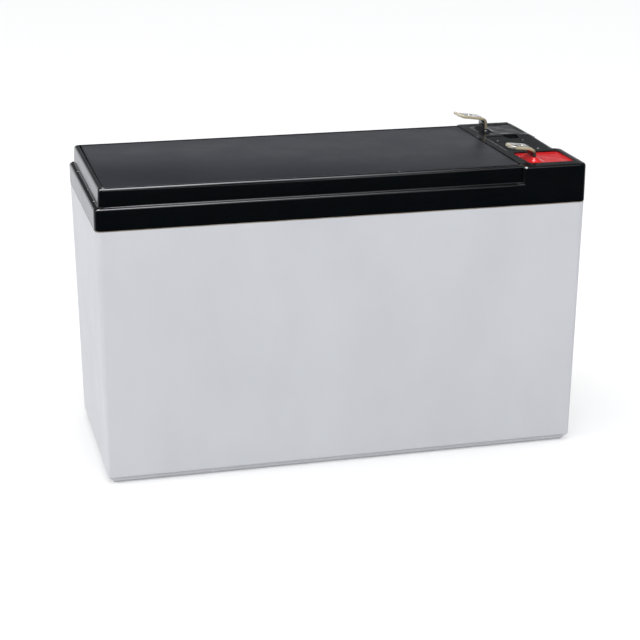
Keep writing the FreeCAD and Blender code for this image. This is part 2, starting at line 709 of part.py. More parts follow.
def make_ring(label, side):
    ring = doc.addObject("Part::Torus", label)
    ring.setExpression("Radius1", rule("ring_middle_radius"))
    ring.setExpression("Radius2", rule("ring_radius"))
    ring.setExpression(".Placement.Base.x", rule("post_x"))
    ring.setExpression(".Placement.Base.y", rule(side))
    ring.setExpression(".Placement.Base.z", rule("ring_level"))
    return ring


def add_arc(sketch, centre, radius, start, end):
    # An arc run anticlockwise from start to end
    first = math.atan2(start.y - centre.y, start.x - centre.x)
    last = math.atan2(end.y - centre.y, end.x - centre.x)
    circle = Part.Circle(centre, Vector(0, 0, 1), radius)
    return sketch.addGeometry(Part.ArcOfCircle(circle, first, last))


def draw_tab_path(path, pole):
    # Middle line of the bent strip: foot, small bend, upright, large bend, sloping blade
    foot, upright = amount("foot_level"), amount("upright_x")
    small, large = amount("tab_foot_bend"), amount(pole + "_bend")
    top = amount(pole + "_upright_top")
    foot_end = Vector(amount("foot_end_x"), foot, 0)
    foot_start = Vector(upright + small, foot, 0)
    upright_start = Vector(upright, foot + small, 0)
    upright_end = Vector(upright, top, 0)
    tip = Vector(amount(pole + "_tip_x"), amount(pole + "_tip_height"), 0)
    centre = Vector(upright - large, top, 0)
    to_tip = tip - centre
    bearing = math.atan2(to_tip.y, to_tip.x) - math.acos(large / to_tip.Length)
    blade_start = centre + Vector(math.cos(bearing), math.sin(bearing), 0) * large
    foot_line = path.addGeometry(Part.LineSegment(foot_end, foot_start))
    small_centre = Vector(upright + small, foot + small, 0)
    small_arc = add_arc(path, small_centre, small, upright_start, foot_start)
    upright_line = path.addGeometry(Part.LineSegment(upright_start, upright_end))
    large_arc = add_arc(path, centre, large, upright_end, blade_start)
    blade_line = path.addGeometry(Part.LineSegment(blade_start, tip))
    joints = [
        (foot_line, 2, small_arc, 2),
        (small_arc, 1, upright_line, 1),
        (upright_line, 2, large_arc, 1),
        (large_arc, 2, blade_line, 1),
    ]
    for joint in joints:
        path.addConstraint(Sketcher.Constraint("Tangent", *joint))
    path.addConstraint(Sketcher.Constraint("Horizontal", foot_line))
    path.addConstraint(Sketcher.Constraint("Vertical", upright_line))
    bind(path, "Radius", small_arc, terms="tab_foot_bend")
    bind(path, "Radius", large_arc, terms=pole + "_bend")
    bind(path, "DistanceX", -1, 1, foot_line, 1, terms="foot_end_x")
    bind(path, "DistanceY", -1, 1, foot_line, 1, terms="foot_level")
    bind(path, "DistanceX", -1, 1, upright_line, 2, terms="upright_x")
    bind(path, "DistanceY", -1, 1, upright_line, 2, terms=pole + "_upright_top")
    bind(path, "DistanceX", -1, 1, blade_line, 2, terms=pole + "_tip_x")
    bind(path, "DistanceY", -1, 1, blade_line, 2, terms=pole + "_tip_height")


def make_tab(pole, side):
    body = new_body(pole + "_tab")
    path = new_sketch(body, pole + "_tab_path", role="XZ_Plane", level=flipped(side))
    draw_tab_path(path, pole)
    section = new_sketch(body, pole + "_tab_section", role="YZ_Plane", level="foot_end_x")
    add_rectangle(
        section,
        side + " - tab_half_width",
        side + " + tab_half_width",
        "foot_level - tab_half_thickness",
        "foot_level + tab_half_thickness",
    )
    strip = body.newObject("PartDesign::AdditivePipe", pole + "_tab_strip")
    strip.Profile = section
    strip.Spine = (path, [])
    tip = amount(pole + "_tip_x + tab_half_thickness")

    def tip_corner(edge, middle):
        return middle.x < tip and near(edge.Length, amount("tab_thickness"))

    soften(body, "Chamfer", pole + "_tab_tip", "tab_tip_cut", tip_corner)
    blade_hole = new_sketch(body, pole + "_blade_hole", level=pole + "_tip_height + tab_width")
    add_circle(blade_hole, pole + "_hole_x", side, "tab_hole_radius")
    pocket(body, blade_hole, "blade_hole_depth")
    foot_hole = new_sketch(body, pole + "_foot_hole", level="spigot_top")
    add_circle(foot_hole, "post_x", side, "spigot_radius")
    pocket(body, foot_hole, "spigot_top - well_floor")
    return body


def make_resin(pole, side, front, rear, tab, post):
    # Resin poured into a well, round the tab's foot and the post's end
    block = new_body(pole + "_resin_block")
    outline = new_sketch(block, pole + "_resin_outline", level="well_floor")
    add_rectangle(outline, "bar_end", "well_end", front, rear, ("well_radius",) * 4)
    pad(block, outline, pole + "_resin_height")
    round_tab = doc.addObject("Part::Cut", pole + "_resin_round_tab")
    round_tab.Base = block
    round_tab.Tool = tab
    resin = doc.addObject("Part::Cut", pole + "_resin")
    resin.Base = round_tab
    resin.Tool = post
    return resin


def make_terminals():
    pieces = []
    wells = [("positive", "- tab_side", "- well_side", "- well_inner")]
    wells.append(("negative", "tab_side", "well_inner", "well_side"))
    for pole, side, front, rear in wells:
        post = make_post(pole + "_post", side)
        tab = make_tab(pole, side)
        resin = make_resin(pole, side, front, rear, tab, post)
        pieces += [post, make_ring(pole + "_post_ring", side), tab, resin]
    return pieces


def upright_outline(name, role, corners):
    # A sketch that stands by itself, for pieces that are used more than once
    turn = {"XZ": Rotation(Vector(1, 0, 0), 90), "YZ": Rotation(Vector(1, 1, 1), 120)}[role]
    sketch = doc.addObject("Sketcher::SketchObject", name)
    sketch.Placement = Placement(Vector(), turn)
    add_outline(sketch, corners)
    return sketch


def stacked(name, outline, thickness, steps):
    # Slices of one outline, at steps of half the pitch of the stack
    slices = []
    for number, step in enumerate(steps, start=1):
        piece = doc.addObject("Part::Extrusion", f"{name}_{number}")
        piece.Base = outline
        piece.DirMode = "Normal"
        piece.Solid = True
        piece.Symmetric = True
        piece.setExpression("LengthFwd", rule(thickness))
        piece.setExpression(".Placement.Base.y", f"{step} * sizes.plate_step")
        slices.append(piece)
    return slices


def plate_corners(left, right):
    # A plate's outline with its lug between left and right
    return [
        ("- plate_half_length", "plate_bottom"),
        ("plate_half_length", "plate_bottom"),
        ("plate_half_length", "plate_top"),
        (right, "plate_top"),
        (right, "strap_bottom"),
        (left, "strap_bottom"),
        (left, "plate_top"),
        ("- plate_half_length", "plate_top"),
    ]


def make_stacks():
    # The plates and separators of one cell, about the middle of the cell
    positive = upright_outline("positive_plate_outline", "XZ", plate_corners("lug_inner", "lug_outer"))
    negative_corners = plate_corners("- lug_outer", "- lug_inner")
    negative = upright_outline("negative_plate_outline", "XZ", negative_corners)
    wrap_corners = [
        ("- wrap_half", "floor_thickness"),
        ("wrap_half", "floor_thickness"),
        ("wrap_half", "separator_top"),
        ("positive_half_thickness", "separator_top"),
        ("positive_half_thickness", "plate_bottom"),
        ("- positive_half_thickness", "plate_bottom"),
        ("- positive_half_thickness", "separator_top"),
        ("- wrap_half", "separator_top"),
    ]
    wrap = upright_outline("separator_outline", "YZ", wrap_corners)
    even, odd = (-4, -2, 0, 2, 4), (-3, -1, 1, 3)
    return {
        "positive_plates": stacked("positive_plate", positive, "positive_plate_thickness", odd),
        "negative_plates": stacked("negative_plate", negative, "negative_plate_thickness", even),
        "separators": stacked("separator", wrap, "separator_length", odd),
    }


def box(name, left, right, front, rear, bottom, top):
    block = doc.addObject("Part::Box", name)
    for side, low, high in (("Length", left, right), ("Width", front, rear), ("Height", bottom, top)):
        block.setExpression(side, f"({rule(high)}) - ({rule(low)})")
    for axis, low in (("x", left), ("y", front), ("z", bottom)):
        block.setExpression(f".Placement.Base.{axis}", rule(low))
    return block


def make_strap(name, pole, joint):
    # A cast strap over the lugs. joint is the upright flag's side, or None under a terminal post.
    # The positive lugs are on the cell's +X side and the negative ones on its -X side
    def along(low, high):
        return (low, high) if pole == "positive" else (flipped(high), flipped(low))

    half = pole + "_strap_half"
    left, right = along("strap_inner", "strap_outer")
    blocks = [box(name + "_bar", left, right, "- " + half, half, "strap_bottom", "strap_top")]
    flag = "flag_half_width"
    if joint == "end":
        left, right = along("strap_inner", "end_flag_outer")
        blocks.append(box(name + "_foot", left, right, "- " + flag, flag, "strap_bottom", "strap_top"))
        left, right = along("end_flag_inner", "end_flag_outer")
        blocks.append(box(name + "_flag", left, right, "- " + flag, flag, "strap_bottom", "flag_top"))
    if joint == "side":
        left, right = along("flag_strap_inner", "flag_strap_outer")
        near_side, far_side = "side_flag_inner", "side_flag_outer"
        blocks.append(box(name + "_foot", left, right, flag, far_side, "strap_bottom", "strap_top"))
        blocks.append(box(name + "_flag", left, right, near_side, far_side, "strap_bottom", "flag_top"))
    if len(blocks) == 1:
        return blocks[0]
    strap = doc.addObject("Part::MultiFuse", name)
    strap.Shapes = blocks
    strap.Refine = True
    return strap


def place_in_cell(piece, column, side, turned):
    piece.Placement = Placement(Vector(), Rotation(Vector(0, 0, 1), 180 if turned else 0))
    if column:
        piece.setExpression(".Placement.Base.x", rule(column))
    piece.setExpression(".Placement.Base.y", rule(side))


def make_cells():
    # The series path runs from the front right cell to the left, across, and back to the rear right cell
    stacks = make_stacks()
    cells = [
        (columns[0], "- row_y", False, None, "end"),
        (columns[1], "- row_y", False, "end", "end"),
        (columns[2], "- row_y", False, "end", "side"),
        (columns[2], "row_y", True, "side", "end"),
        (columns[1], "row_y", True, "end", "end"),
        (columns[0], "row_y", True, "end", None),
    ]
    pieces = []
    for number, (column, side, turned, positive_joint, negative_joint) in enumerate(cells, start=1):
        for kind, slices in stacks.items():
            group = doc.addObject("Part::Compound", f"cell_{number}_{kind}")
            group.Links = slices
            place_in_cell(group, column, side, turned)
            pieces.append(group)
        for pole, joint in (("positive", positive_joint), ("negative", negative_joint)):
            strap = doc.addObject("Part::Compound", f"cell_{number}_{pole}_strap")
            strap.Links = [make_strap(f"cell_{number}_{pole}_casting", pole, joint)]
            place_in_cell(strap, column, side, turned)
            pieces.append(strap)
    return pieces


def make_weld(number, axis, across, along, half):
    weld = doc.addObject("Part::Cylinder", f"partition_weld_{number}")
    weld.setExpression("Radius", rule("weld_radius"))
    weld.setExpression("Height", f"2 * {rule(half)}")
    weld.Placement = Placement(Vector(), Rotation(Vector(0, 0, 1), axis))
    weld.setExpression(".Placement.Base.x", rule(across))
    weld.setExpression(".Placement.Base.y", rule(along))
    weld.setExpression(".Placement.Base.z", rule("weld_height"))
    return weld


def make_welds():
    along_x, along_y = Vector(1, 0, 0), Vector(0, 1, 0)
    low, high = "half_pitch - cross_weld_half", "- half_pitch - cross_weld_half"
    return [
        make_weld(1, along_x, low, "- row_y", "cross_weld_half"),
        make_weld(2, along_x, high, "- row_y", "cross_weld_half"),
        make_weld(3, along_y, "- post_x", "- middle_weld_half", "middle_weld_half"),
        make_weld(4, along_x, high, "row_y", "cross_weld_half"),
        make_weld(5, along_x, low, "row_y", "cross_weld_half"),
    ]


pieces = [make_container(), make_cover(), make_adhesive(), make_vent_cover()]
pieces += make_valve_caps()
pieces += make_terminals()
pieces += make_cells()
pieces += make_welds()
doc.recompute()

failed = [item.Name for item in doc.Objects if "Invalid" in item.State or "Error" in item.State]
if failed:
    raise RuntimeError("objects that failed: " + ", ".join(failed))
for piece in pieces:
    if piece.Shape.isNull() or not piece.Shape.isValid():
        raise RuntimeError("no valid shape: " + piece.Label)
os.makedirs("parts", exist_ok=True)
for piece in pieces:
    piece.Shape.exportStep(f"parts/{piece.Label}.step")
    print(piece.Label, len(piece.Shape.Solids), round(piece.Shape.Volume, 1))
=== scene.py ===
import bpy
import bmesh
import math
from mathutils import Matrix, Vector


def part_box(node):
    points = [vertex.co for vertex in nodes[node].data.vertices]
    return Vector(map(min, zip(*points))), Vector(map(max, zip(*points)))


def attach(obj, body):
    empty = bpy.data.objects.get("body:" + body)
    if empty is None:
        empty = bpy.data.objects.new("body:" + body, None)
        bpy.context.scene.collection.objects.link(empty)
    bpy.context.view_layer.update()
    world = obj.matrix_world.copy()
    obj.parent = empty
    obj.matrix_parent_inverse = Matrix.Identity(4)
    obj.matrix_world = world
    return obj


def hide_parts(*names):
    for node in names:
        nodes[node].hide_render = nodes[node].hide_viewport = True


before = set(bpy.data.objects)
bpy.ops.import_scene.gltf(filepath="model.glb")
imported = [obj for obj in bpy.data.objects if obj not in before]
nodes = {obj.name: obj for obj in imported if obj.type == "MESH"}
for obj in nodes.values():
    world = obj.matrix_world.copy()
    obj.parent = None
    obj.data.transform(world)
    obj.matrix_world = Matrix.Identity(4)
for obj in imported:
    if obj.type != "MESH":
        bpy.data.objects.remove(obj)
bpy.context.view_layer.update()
print("frame loaded:", len(nodes), "nodes")

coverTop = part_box("cover")[1][2]
tabSides = {"positive": -0.0220, "negative": 0.0227}  # the tabs' middle lines, across the battery


# Small helpers for objects and node trees

def deselectAll():
    if bpy.context.object and bpy.context.object.mode != "OBJECT":
        bpy.ops.object.mode_set(mode="OBJECT")
    bpy.ops.object.select_all(action="DESELECT")


def link(tree, source, target):
    tree.links.new(source, target)


def addNode(tree, kind, place, **values):
    node = tree.nodes.new(kind)
    node.location = place
    for name, value in values.items():
        setattr(node, name, value)
    return node


def mathNode(tree, operation, first, second, place, clamp=False):
    # first and second are sockets or plain numbers
    node = addNode(tree, "ShaderNodeMath", place, operation=operation, use_clamp=clamp)
    for number, value in enumerate((first, second)):
        if hasattr(value, "is_output"):
            link(tree, value, node.inputs[number])
        elif value is not None:
            node.inputs[number].default_value = value
    return node.outputs[0]


def rampNode(tree, source, low, high, place, outLow=0.0, outHigh=1.0):
    node = addNode(tree, "ShaderNodeMapRange", place)
    link(tree, source, node.inputs["Value"])
    node.inputs["From Min"].default_value = low
    node.inputs["From Max"].default_value = high
    node.inputs["To Min"].default_value = outLow
    node.inputs["To Max"].default_value = outHigh
    return node.outputs[0]


def mixColor(tree, factor, first, second, place):
    node = addNode(tree, "ShaderNodeMix", place, data_type="RGBA")
    for socket, value in ((node.inputs[0], factor), (node.inputs[6], first), (node.inputs[7], second)):
        if hasattr(value, "is_output"):
            link(tree, value, socket)
        elif isinstance(value, (int, float)):
            socket.default_value = value
        else:
            socket.default_value = (*value, 1.0)
    return node.outputs[2]


def newGroup(name, inputs, outputs):
    # inputs: name, kind, value. outputs: name, kind
    group = bpy.data.node_groups.new(name, "ShaderNodeTree")
    for label, kind, value in inputs:
        socket = group.interface.new_socket(name=label, in_out="INPUT", socket_type=kind)
        socket.default_value = value
    for label, kind in outputs:
        group.interface.new_socket(name=label, in_out="OUTPUT", socket_type=kind)
    inside = group.nodes.new("NodeGroupInput")
    inside.location = (-900, 0)
    outside = group.nodes.new("NodeGroupOutput")
    outside.location = (900, 0)
    return group, inside, outside


def useGroup(tree, group, place, **values):
    # A colour is given as three values
    node = addNode(tree, "ShaderNodeGroup", place)
    node.node_tree = group
    for name, value in values.items():
        socket = node.inputs[name[0].upper() + name[1:]]
        socket.default_value = (*value, 1.0) if socket.type == "RGBA" else value
    return node


# Effects that several finishes share

def makeMottle():
    # Slow, faint change of tone, drawn out along Z as a moulded wall shows it
    group, given, result = newGroup(
        "toneMottle",
        [
            ("Color", "NodeSocketColor", (0.5, 0.5, 0.5, 1)),
            ("Tone", "NodeSocketColor", (0.4, 0.4, 0.4, 1)),
            ("Scale", "NodeSocketFloat", 30.0),
            ("Stretch", "NodeSocketFloat", 1.0),
            ("Amount", "NodeSocketFloat", 0.5),
        ],
        [("Color", "NodeSocketColor")],
    )
    place = addNode(group, "ShaderNodeTexCoord", (-900, -300))
    stretch = addNode(group, "ShaderNodeCombineXYZ", (-700, -200))
    stretch.inputs[0].default_value = 1.0
    stretch.inputs[1].default_value = 1.0
    link(group, given.outputs["Stretch"], stretch.inputs[2])
    drawn = addNode(group, "ShaderNodeVectorMath", (-500, -300), operation="MULTIPLY")
    link(group, place.outputs["Object"], drawn.inputs[0])
    link(group, stretch.outputs[0], drawn.inputs[1])
    noise = addNode(group, "ShaderNodeTexNoise", (-300, -200))
    noise.inputs["Detail"].default_value = 4.0
    noise.inputs["Roughness"].default_value = 0.55
    link(group, drawn.outputs[0], noise.inputs["Vector"])
    link(group, given.outputs["Scale"], noise.inputs["Scale"])
    mask = rampNode(group, noise.outputs[0], 0.35, 0.65, (-100, -200))
    weight = mathNode(group, "MULTIPLY", mask, given.outputs["Amount"], (100, -200), clamp=True)
    mix = addNode(group, "ShaderNodeMix", (350, 0), data_type="RGBA")
    link(group, weight, mix.inputs[0])
    link(group, given.outputs["Color"], mix.inputs[6])
    link(group, given.outputs["Tone"], mix.inputs[7])
    link(group, mix.outputs[2], result.inputs["Color"])
    return group


def makeGrain():
    # Fine moulded grain: a height for a bump and a roughness that goes with it
    group, given, result = newGroup(
        "surfaceGrain",
        [
            ("Scale", "NodeSocketFloat", 2500.0),
            ("Smooth", "NodeSocketFloat", 0.3),
            ("Rough", "NodeSocketFloat", 0.5),
        ],
        [("Height", "NodeSocketFloat"), ("Roughness", "NodeSocketFloat")],
    )
    place = addNode(group, "ShaderNodeTexCoord", (-700, -200))
    fine = addNode(group, "ShaderNodeTexNoise", (-450, 100))
    fine.inputs["Detail"].default_value = 3.0
    link(group, place.outputs["Object"], fine.inputs["Vector"])
    link(group, given.outputs["Scale"], fine.inputs["Scale"])
    wide = addNode(group, "ShaderNodeTexNoise", (-450, -200))
    wide.inputs["Detail"].default_value = 3.0
    wide.inputs["Scale"].default_value = 90.0
    link(group, place.outputs["Object"], wide.inputs["Vector"])
    slow = mathNode(group, "MULTIPLY", wide.outputs[0], 0.6, (-200, 0))
    quick = mathNode(group, "MULTIPLY", fine.outputs[0], 0.4, (-200, -100))
    total = mathNode(group, "ADD", slow, quick, (200, 0))
    spread = rampNode(group, total, 0.35, 0.65, (400, -100))
    difference = mathNode(group, "SUBTRACT", given.outputs["Rough"], given.outputs["Smooth"], (400, -300))
    scaled = mathNode(group, "MULTIPLY", spread, difference, (550, -200))
    rough = mathNode(group, "ADD", scaled, given.outputs["Smooth"], (700, -200))
    link(group, fine.outputs[0], result.inputs["Height"])
    link(group, rough, result.inputs["Roughness"])
    return group


def makeDustAndGlintSpot():
    # One round spot, used both for specks of dust and for painted glints: 1 in its middle, fading to 0 across its rim
    group, given, result = newGroup(
        "dustAndGlintSpot",
        [("Centre", "NodeSocketVector", (0.0, 0.0, 0.0)), ("Radius", "NodeSocketFloat", 0.0003)],
        [("Mask", "NodeSocketFloat")],
    )
    place = addNode(group, "ShaderNodeTexCoord", (-700, 0))
    away = addNode(group, "ShaderNodeVectorMath", (-450, 0), operation="DISTANCE")
    link(group, place.outputs["Object"], away.inputs[0])
    link(group, given.outputs["Centre"], away.inputs[1])
    share = mathNode(group, "DIVIDE", away.outputs["Value"], given.outputs["Radius"], (-200, 0))
    mask = rampNode(group, share, 1.2, 0.6, (0, 0))
    link(group, mask, result.inputs["Mask"])
    return group


def makeScratches():
    # Hair-fine rubbing marks along one direction
    group, given, result = newGroup(
        "fineScratches",
        [
            ("Along", "NodeSocketVector", (0.02, 1.0, 1.0)),
            ("Scale", "NodeSocketFloat", 2500.0),
            ("Share", "NodeSocketFloat", 0.5),
        ],
        [("Mask", "NodeSocketFloat")],
    )
    place = addNode(group, "ShaderNodeTexCoord", (-700, 0))
    drawn = addNode(group, "ShaderNodeVectorMath", (-500, 0), operation="MULTIPLY")
    link(group, place.outputs["Object"], drawn.inputs[0])
    link(group, given.outputs["Along"], drawn.inputs[1])
    noise = addNode(group, "ShaderNodeTexNoise", (-300, 0))
    noise.inputs["Detail"].default_value = 2.0
    link(group, drawn.outputs[0], noise.inputs["Vector"])
    link(group, given.outputs["Scale"], noise.inputs["Scale"])
    edge = mathNode(group, "SUBTRACT", 1.0, given.outputs["Share"], (-100, -200))
    above = mathNode(group, "SUBTRACT", noise.outputs[0], edge, (100, 0))
    mask = mathNode(group, "MULTIPLY", above, 6.0, (300, 0), clamp=True)
    link(group, mask, result.inputs["Mask"])
    return group


toneMottle = makeMottle()
surfaceGrain = makeGrain()
dustAndGlintSpot = makeDustAndGlintSpot()
fineScratches = makeScratches()


def newFinish(name, roughness, metallic=0.0, specular=0.5):
    material = bpy.data.materials.new(name)
    material.use_nodes = True
    tree = material.node_tree
    shader = tree.nodes["Principled BSDF"]
    shader.location = (600, 0)
    tree.nodes["Material Output"].location = (900, 0)
    shader.inputs["Roughness"].default_value = roughness
    shader.inputs["Metallic"].default_value = metallic
    shader.inputs["Specular IOR Level"].default_value = specular
    return material, tree, shader


def addBump(tree, shader, height, strength, distance):
    bump = addNode(tree, "ShaderNodeBump", (350, -350))
    bump.inputs["Strength"].default_value = strength
    bump.inputs["Distance"].default_value = distance
    link(tree, height, bump.inputs["Height"])
    link(tree, bump.outputs[0], shader.inputs["Normal"])


def dustAndGlintMask(tree, spots):
    # 1 on small round spots, specks of dust and painted glints, each given as x, y, depth below the cover's top, and
    # radius
    mask = None
    for number, (x, y, down, radius) in enumerate(spots):
        row = 700 - 200 * number
        spot = useGroup(tree, dustAndGlintSpot, (-1500, row), centre=(x, y, coverTop - down), radius=radius).outputs["Mask"]
        mask = spot if mask is None else mathNode(tree, "MAXIMUM", mask, spot, (-1100, row))
    return mask


def plainFinish(name, look):
    # A mottled, grained finish, with specks of dust and painted glints where look gives them
    material, tree, shader = newFinish(name, look["rough"], look.get("metallic", 0.0), look.get("specular", 0.5))
    tone = useGroup(
        tree, toneMottle, (-300, 200), color=look["color"], tone=look["tone"],
        scale=look["patch"], stretch=look.get("stretch", 1.0), amount=look.get("amount", 1.0),
    )
    grain = useGroup(
        tree, surfaceGrain, (-300, -200), scale=look["grain"], smooth=look["smooth"], rough=look["rough"],
    )
    color, roughness = tone.outputs["Color"], grain.outputs["Roughness"]
    if "dustAndGlints" in look:
        dustAndGlints = dustAndGlintMask(tree, look["dustAndGlints"]["spots"])
        color = mixColor(tree, dustAndGlints, color, look["dustAndGlints"]["color"], (100, 300))
        dull = mathNode(tree, "MULTIPLY", dustAndGlints, look["dustAndGlints"]["rough"], (100, 100))
        roughness = mathNode(tree, "ADD", roughness, dull, (300, 50))
    link(tree, color, shader.inputs["Base Color"])
    link(tree, roughness, shader.inputs["Roughness"])
    addBump(tree, shader, grain.outputs["Height"], look["bump"], look.get("depth", 0.00002))
    return material


finishes = {
    "containerGrey": {
        "color": (0.548, 0.554, 0.571), "tone": (0.520, 0.526, 0.545), "patch": 38.0, "stretch": 0.6,
        "smooth": 0.36, "rough": 0.46, "grain": 2600.0, "bump": 0.25,
    },
    "coverBlack": {
        "color": (0.0020, 0.0027, 0.0034), "tone": (0.0028, 0.0036, 0.0044), "patch": 60.0,
        "smooth": 0.10, "rough": 0.16, "grain": 900.0, "bump": 0.10,
        # The cover's spots are mostly painted glints, bright highlights on its edges, corners and ledge, with a few
        # marks of dust
        "dustAndGlints": {"color": (0.50, 0.50, 0.49), "rough": 0.5, "spots": (
            (0.06022, 0.00556, 0.00037, 0.00025), (0.06870, 0.00521, 0.00039, 0.00022),
            (0.06960, -0.00603, 0.00086, 0.00034), (0.07275, 0.02880, 0.00003, 0.00026),
            (0.07270, 0.02640, 0.00003, 0.00036), (0.07262, 0.02480, 0.00003, 0.00030),
            (0.07200, 0.02144, 0.00050, 0.00020), (0.05458, -0.03230, 0.00057, 0.00034),
            (0.05569, -0.03230, 0.00057, 0.00036), (-0.07214, -0.02949, 0.00007, 0.00050),
            (-0.07435, 0.01767, 0.00575, 0.00024), (-0.07417, -0.00723, 0.00575, 0.00022),
            (-0.07432, -0.02198, 0.00575, 0.00022), (-0.07411, -0.03200, 0.00575, 0.00026),
        )},
    },
    "ventBlack": {
        "color": (0.0072, 0.0075, 0.0101), "tone": (0.0108, 0.0111, 0.0141), "patch": 45.0,
        "smooth": 0.41, "rough": 0.49, "grain": 3200.0, "bump": 0.35, "specular": 0.19,
        "dustAndGlints": {"color": (0.20, 0.20, 0.19), "rough": 0.5, "spots": (
            (0.00308, -0.00825, 0.0001, 0.00022), (0.00001, -0.02970, 0.0001, 0.00022),
            (0.00536, -0.02538, 0.0001, 0.00020), (0.02245, -0.01880, 0.0001, 0.00018),
            (0.01626, -0.02950, 0.0001, 0.00022), (-0.03100, 0.00400, 0.0001, 0.00018),
        )},
    },
    "adhesiveBrown": {
        "color": (0.16, 0.12, 0.08), "tone": (0.30, 0.27, 0.23), "patch": 160.0,
        "smooth": 0.35, "rough": 0.6, "grain": 1500.0, "bump": 0.4,
    },
    "resinRed": {
        "color": (0.58, 0.010, 0.012), "tone": (0.64, 0.022, 0.026), "patch": 160.0, "amount": 0.5,
        "smooth": 0.10, "rough": 0.24, "grain": 700.0, "bump": 0.12, "depth": 0.00003, "specular": 0.35,
    },
    "resinBlack": {
        "color": (0.0022, 0.0028, 0.0034), "tone": (0.0035, 0.0042, 0.0050), "patch": 150.0,
        "smooth": 0.14, "rough": 0.26, "grain": 700.0, "bump": 0.12, "depth": 0.00003,
    },
    "rubberBlack": {
        "color": (0.014, 0.014, 0.015), "tone": (0.028, 0.028, 0.029), "patch": 200.0,
        "smooth": 0.6, "rough": 0.8, "grain": 4000.0, "bump": 0.3,
    },
    "castLead": {
        "color": (0.20, 0.21, 0.23), "tone": (0.33, 0.34, 0.36), "patch": 150.0, "metallic": 0.9,
        "smooth": 0.4, "rough": 0.65, "grain": 1800.0, "bump": 0.4,
    },
    "positivePaste": {
        "color": (0.055, 0.026, 0.018), "tone": (0.090, 0.045, 0.030), "patch": 120.0,
        "smooth": 0.75, "rough": 0.95, "grain": 1600.0, "bump": 0.6, "depth": 0.00006,
    },
    "negativePaste": {
        "color": (0.17, 0.18, 0.19), "tone": (0.23, 0.24, 0.25), "patch": 120.0,
        "smooth": 0.6, "rough": 0.85, "grain": 1600.0, "bump": 0.6, "depth": 0.00006,
    },
    "glassMat": {
        "color": (0.80, 0.80, 0.77), "tone": (0.68, 0.68, 0.64), "patch": 260.0,
        "smooth": 0.85, "rough": 0.98, "grain": 3600.0, "bump": 0.7, "depth": 0.00008,
    },
}
finish = {name: plainFinish(name, look) for name, look in finishes.items()}


tinLook = {
    "color": (0.76, 0.73, 0.665), "tone": (0.67, 0.64, 0.585), "patch": 420.0, "amount": 0.8,
    "smooth": 0.14, "rough": 0.30, "grain": 2400.0,
    "scratches": {"along": (0.03, 1.0, 1.0), "scale": 3000.0, "share": 0.5},
    "bump": 0.2, "depth": 0.00002,
    "edge": (0.50, 0.43, 0.28),  # cut edge of the blades
    "paintedShadeEdges": {"positive": (0.06, 0.04, 0.03), "negative": (0.27, 0.235, 0.15)},  # painted shade: cut edge of the uprights, darker than the blades' cut edges
    "paintedShade": (0.12, 0.11, 0.11),  # painted reflection: face of the uprights darkened for the dark plate that it mirrors
    "tipTone": (0.42, 0.38, 0.29),  # face at the tip
    "cutFrom": 0.00285, "cutFull": 0.00312,  # from a tab's middle line to its cut edge
    "tipFrom": 0.0544, "tipFull": 0.0536,
    "uprightFrom": 0.0592, "uprightFull": 0.0602,
    "between": 0.001,  # half the soft step from one tab to the other, across the battery
    "bladeLevel": coverTop + 0.0031, "bladeFade": 0.0009, "negativeRise": 0.0014,
    "cutMetallic": 0.3, "cutRough": 0.4,
}


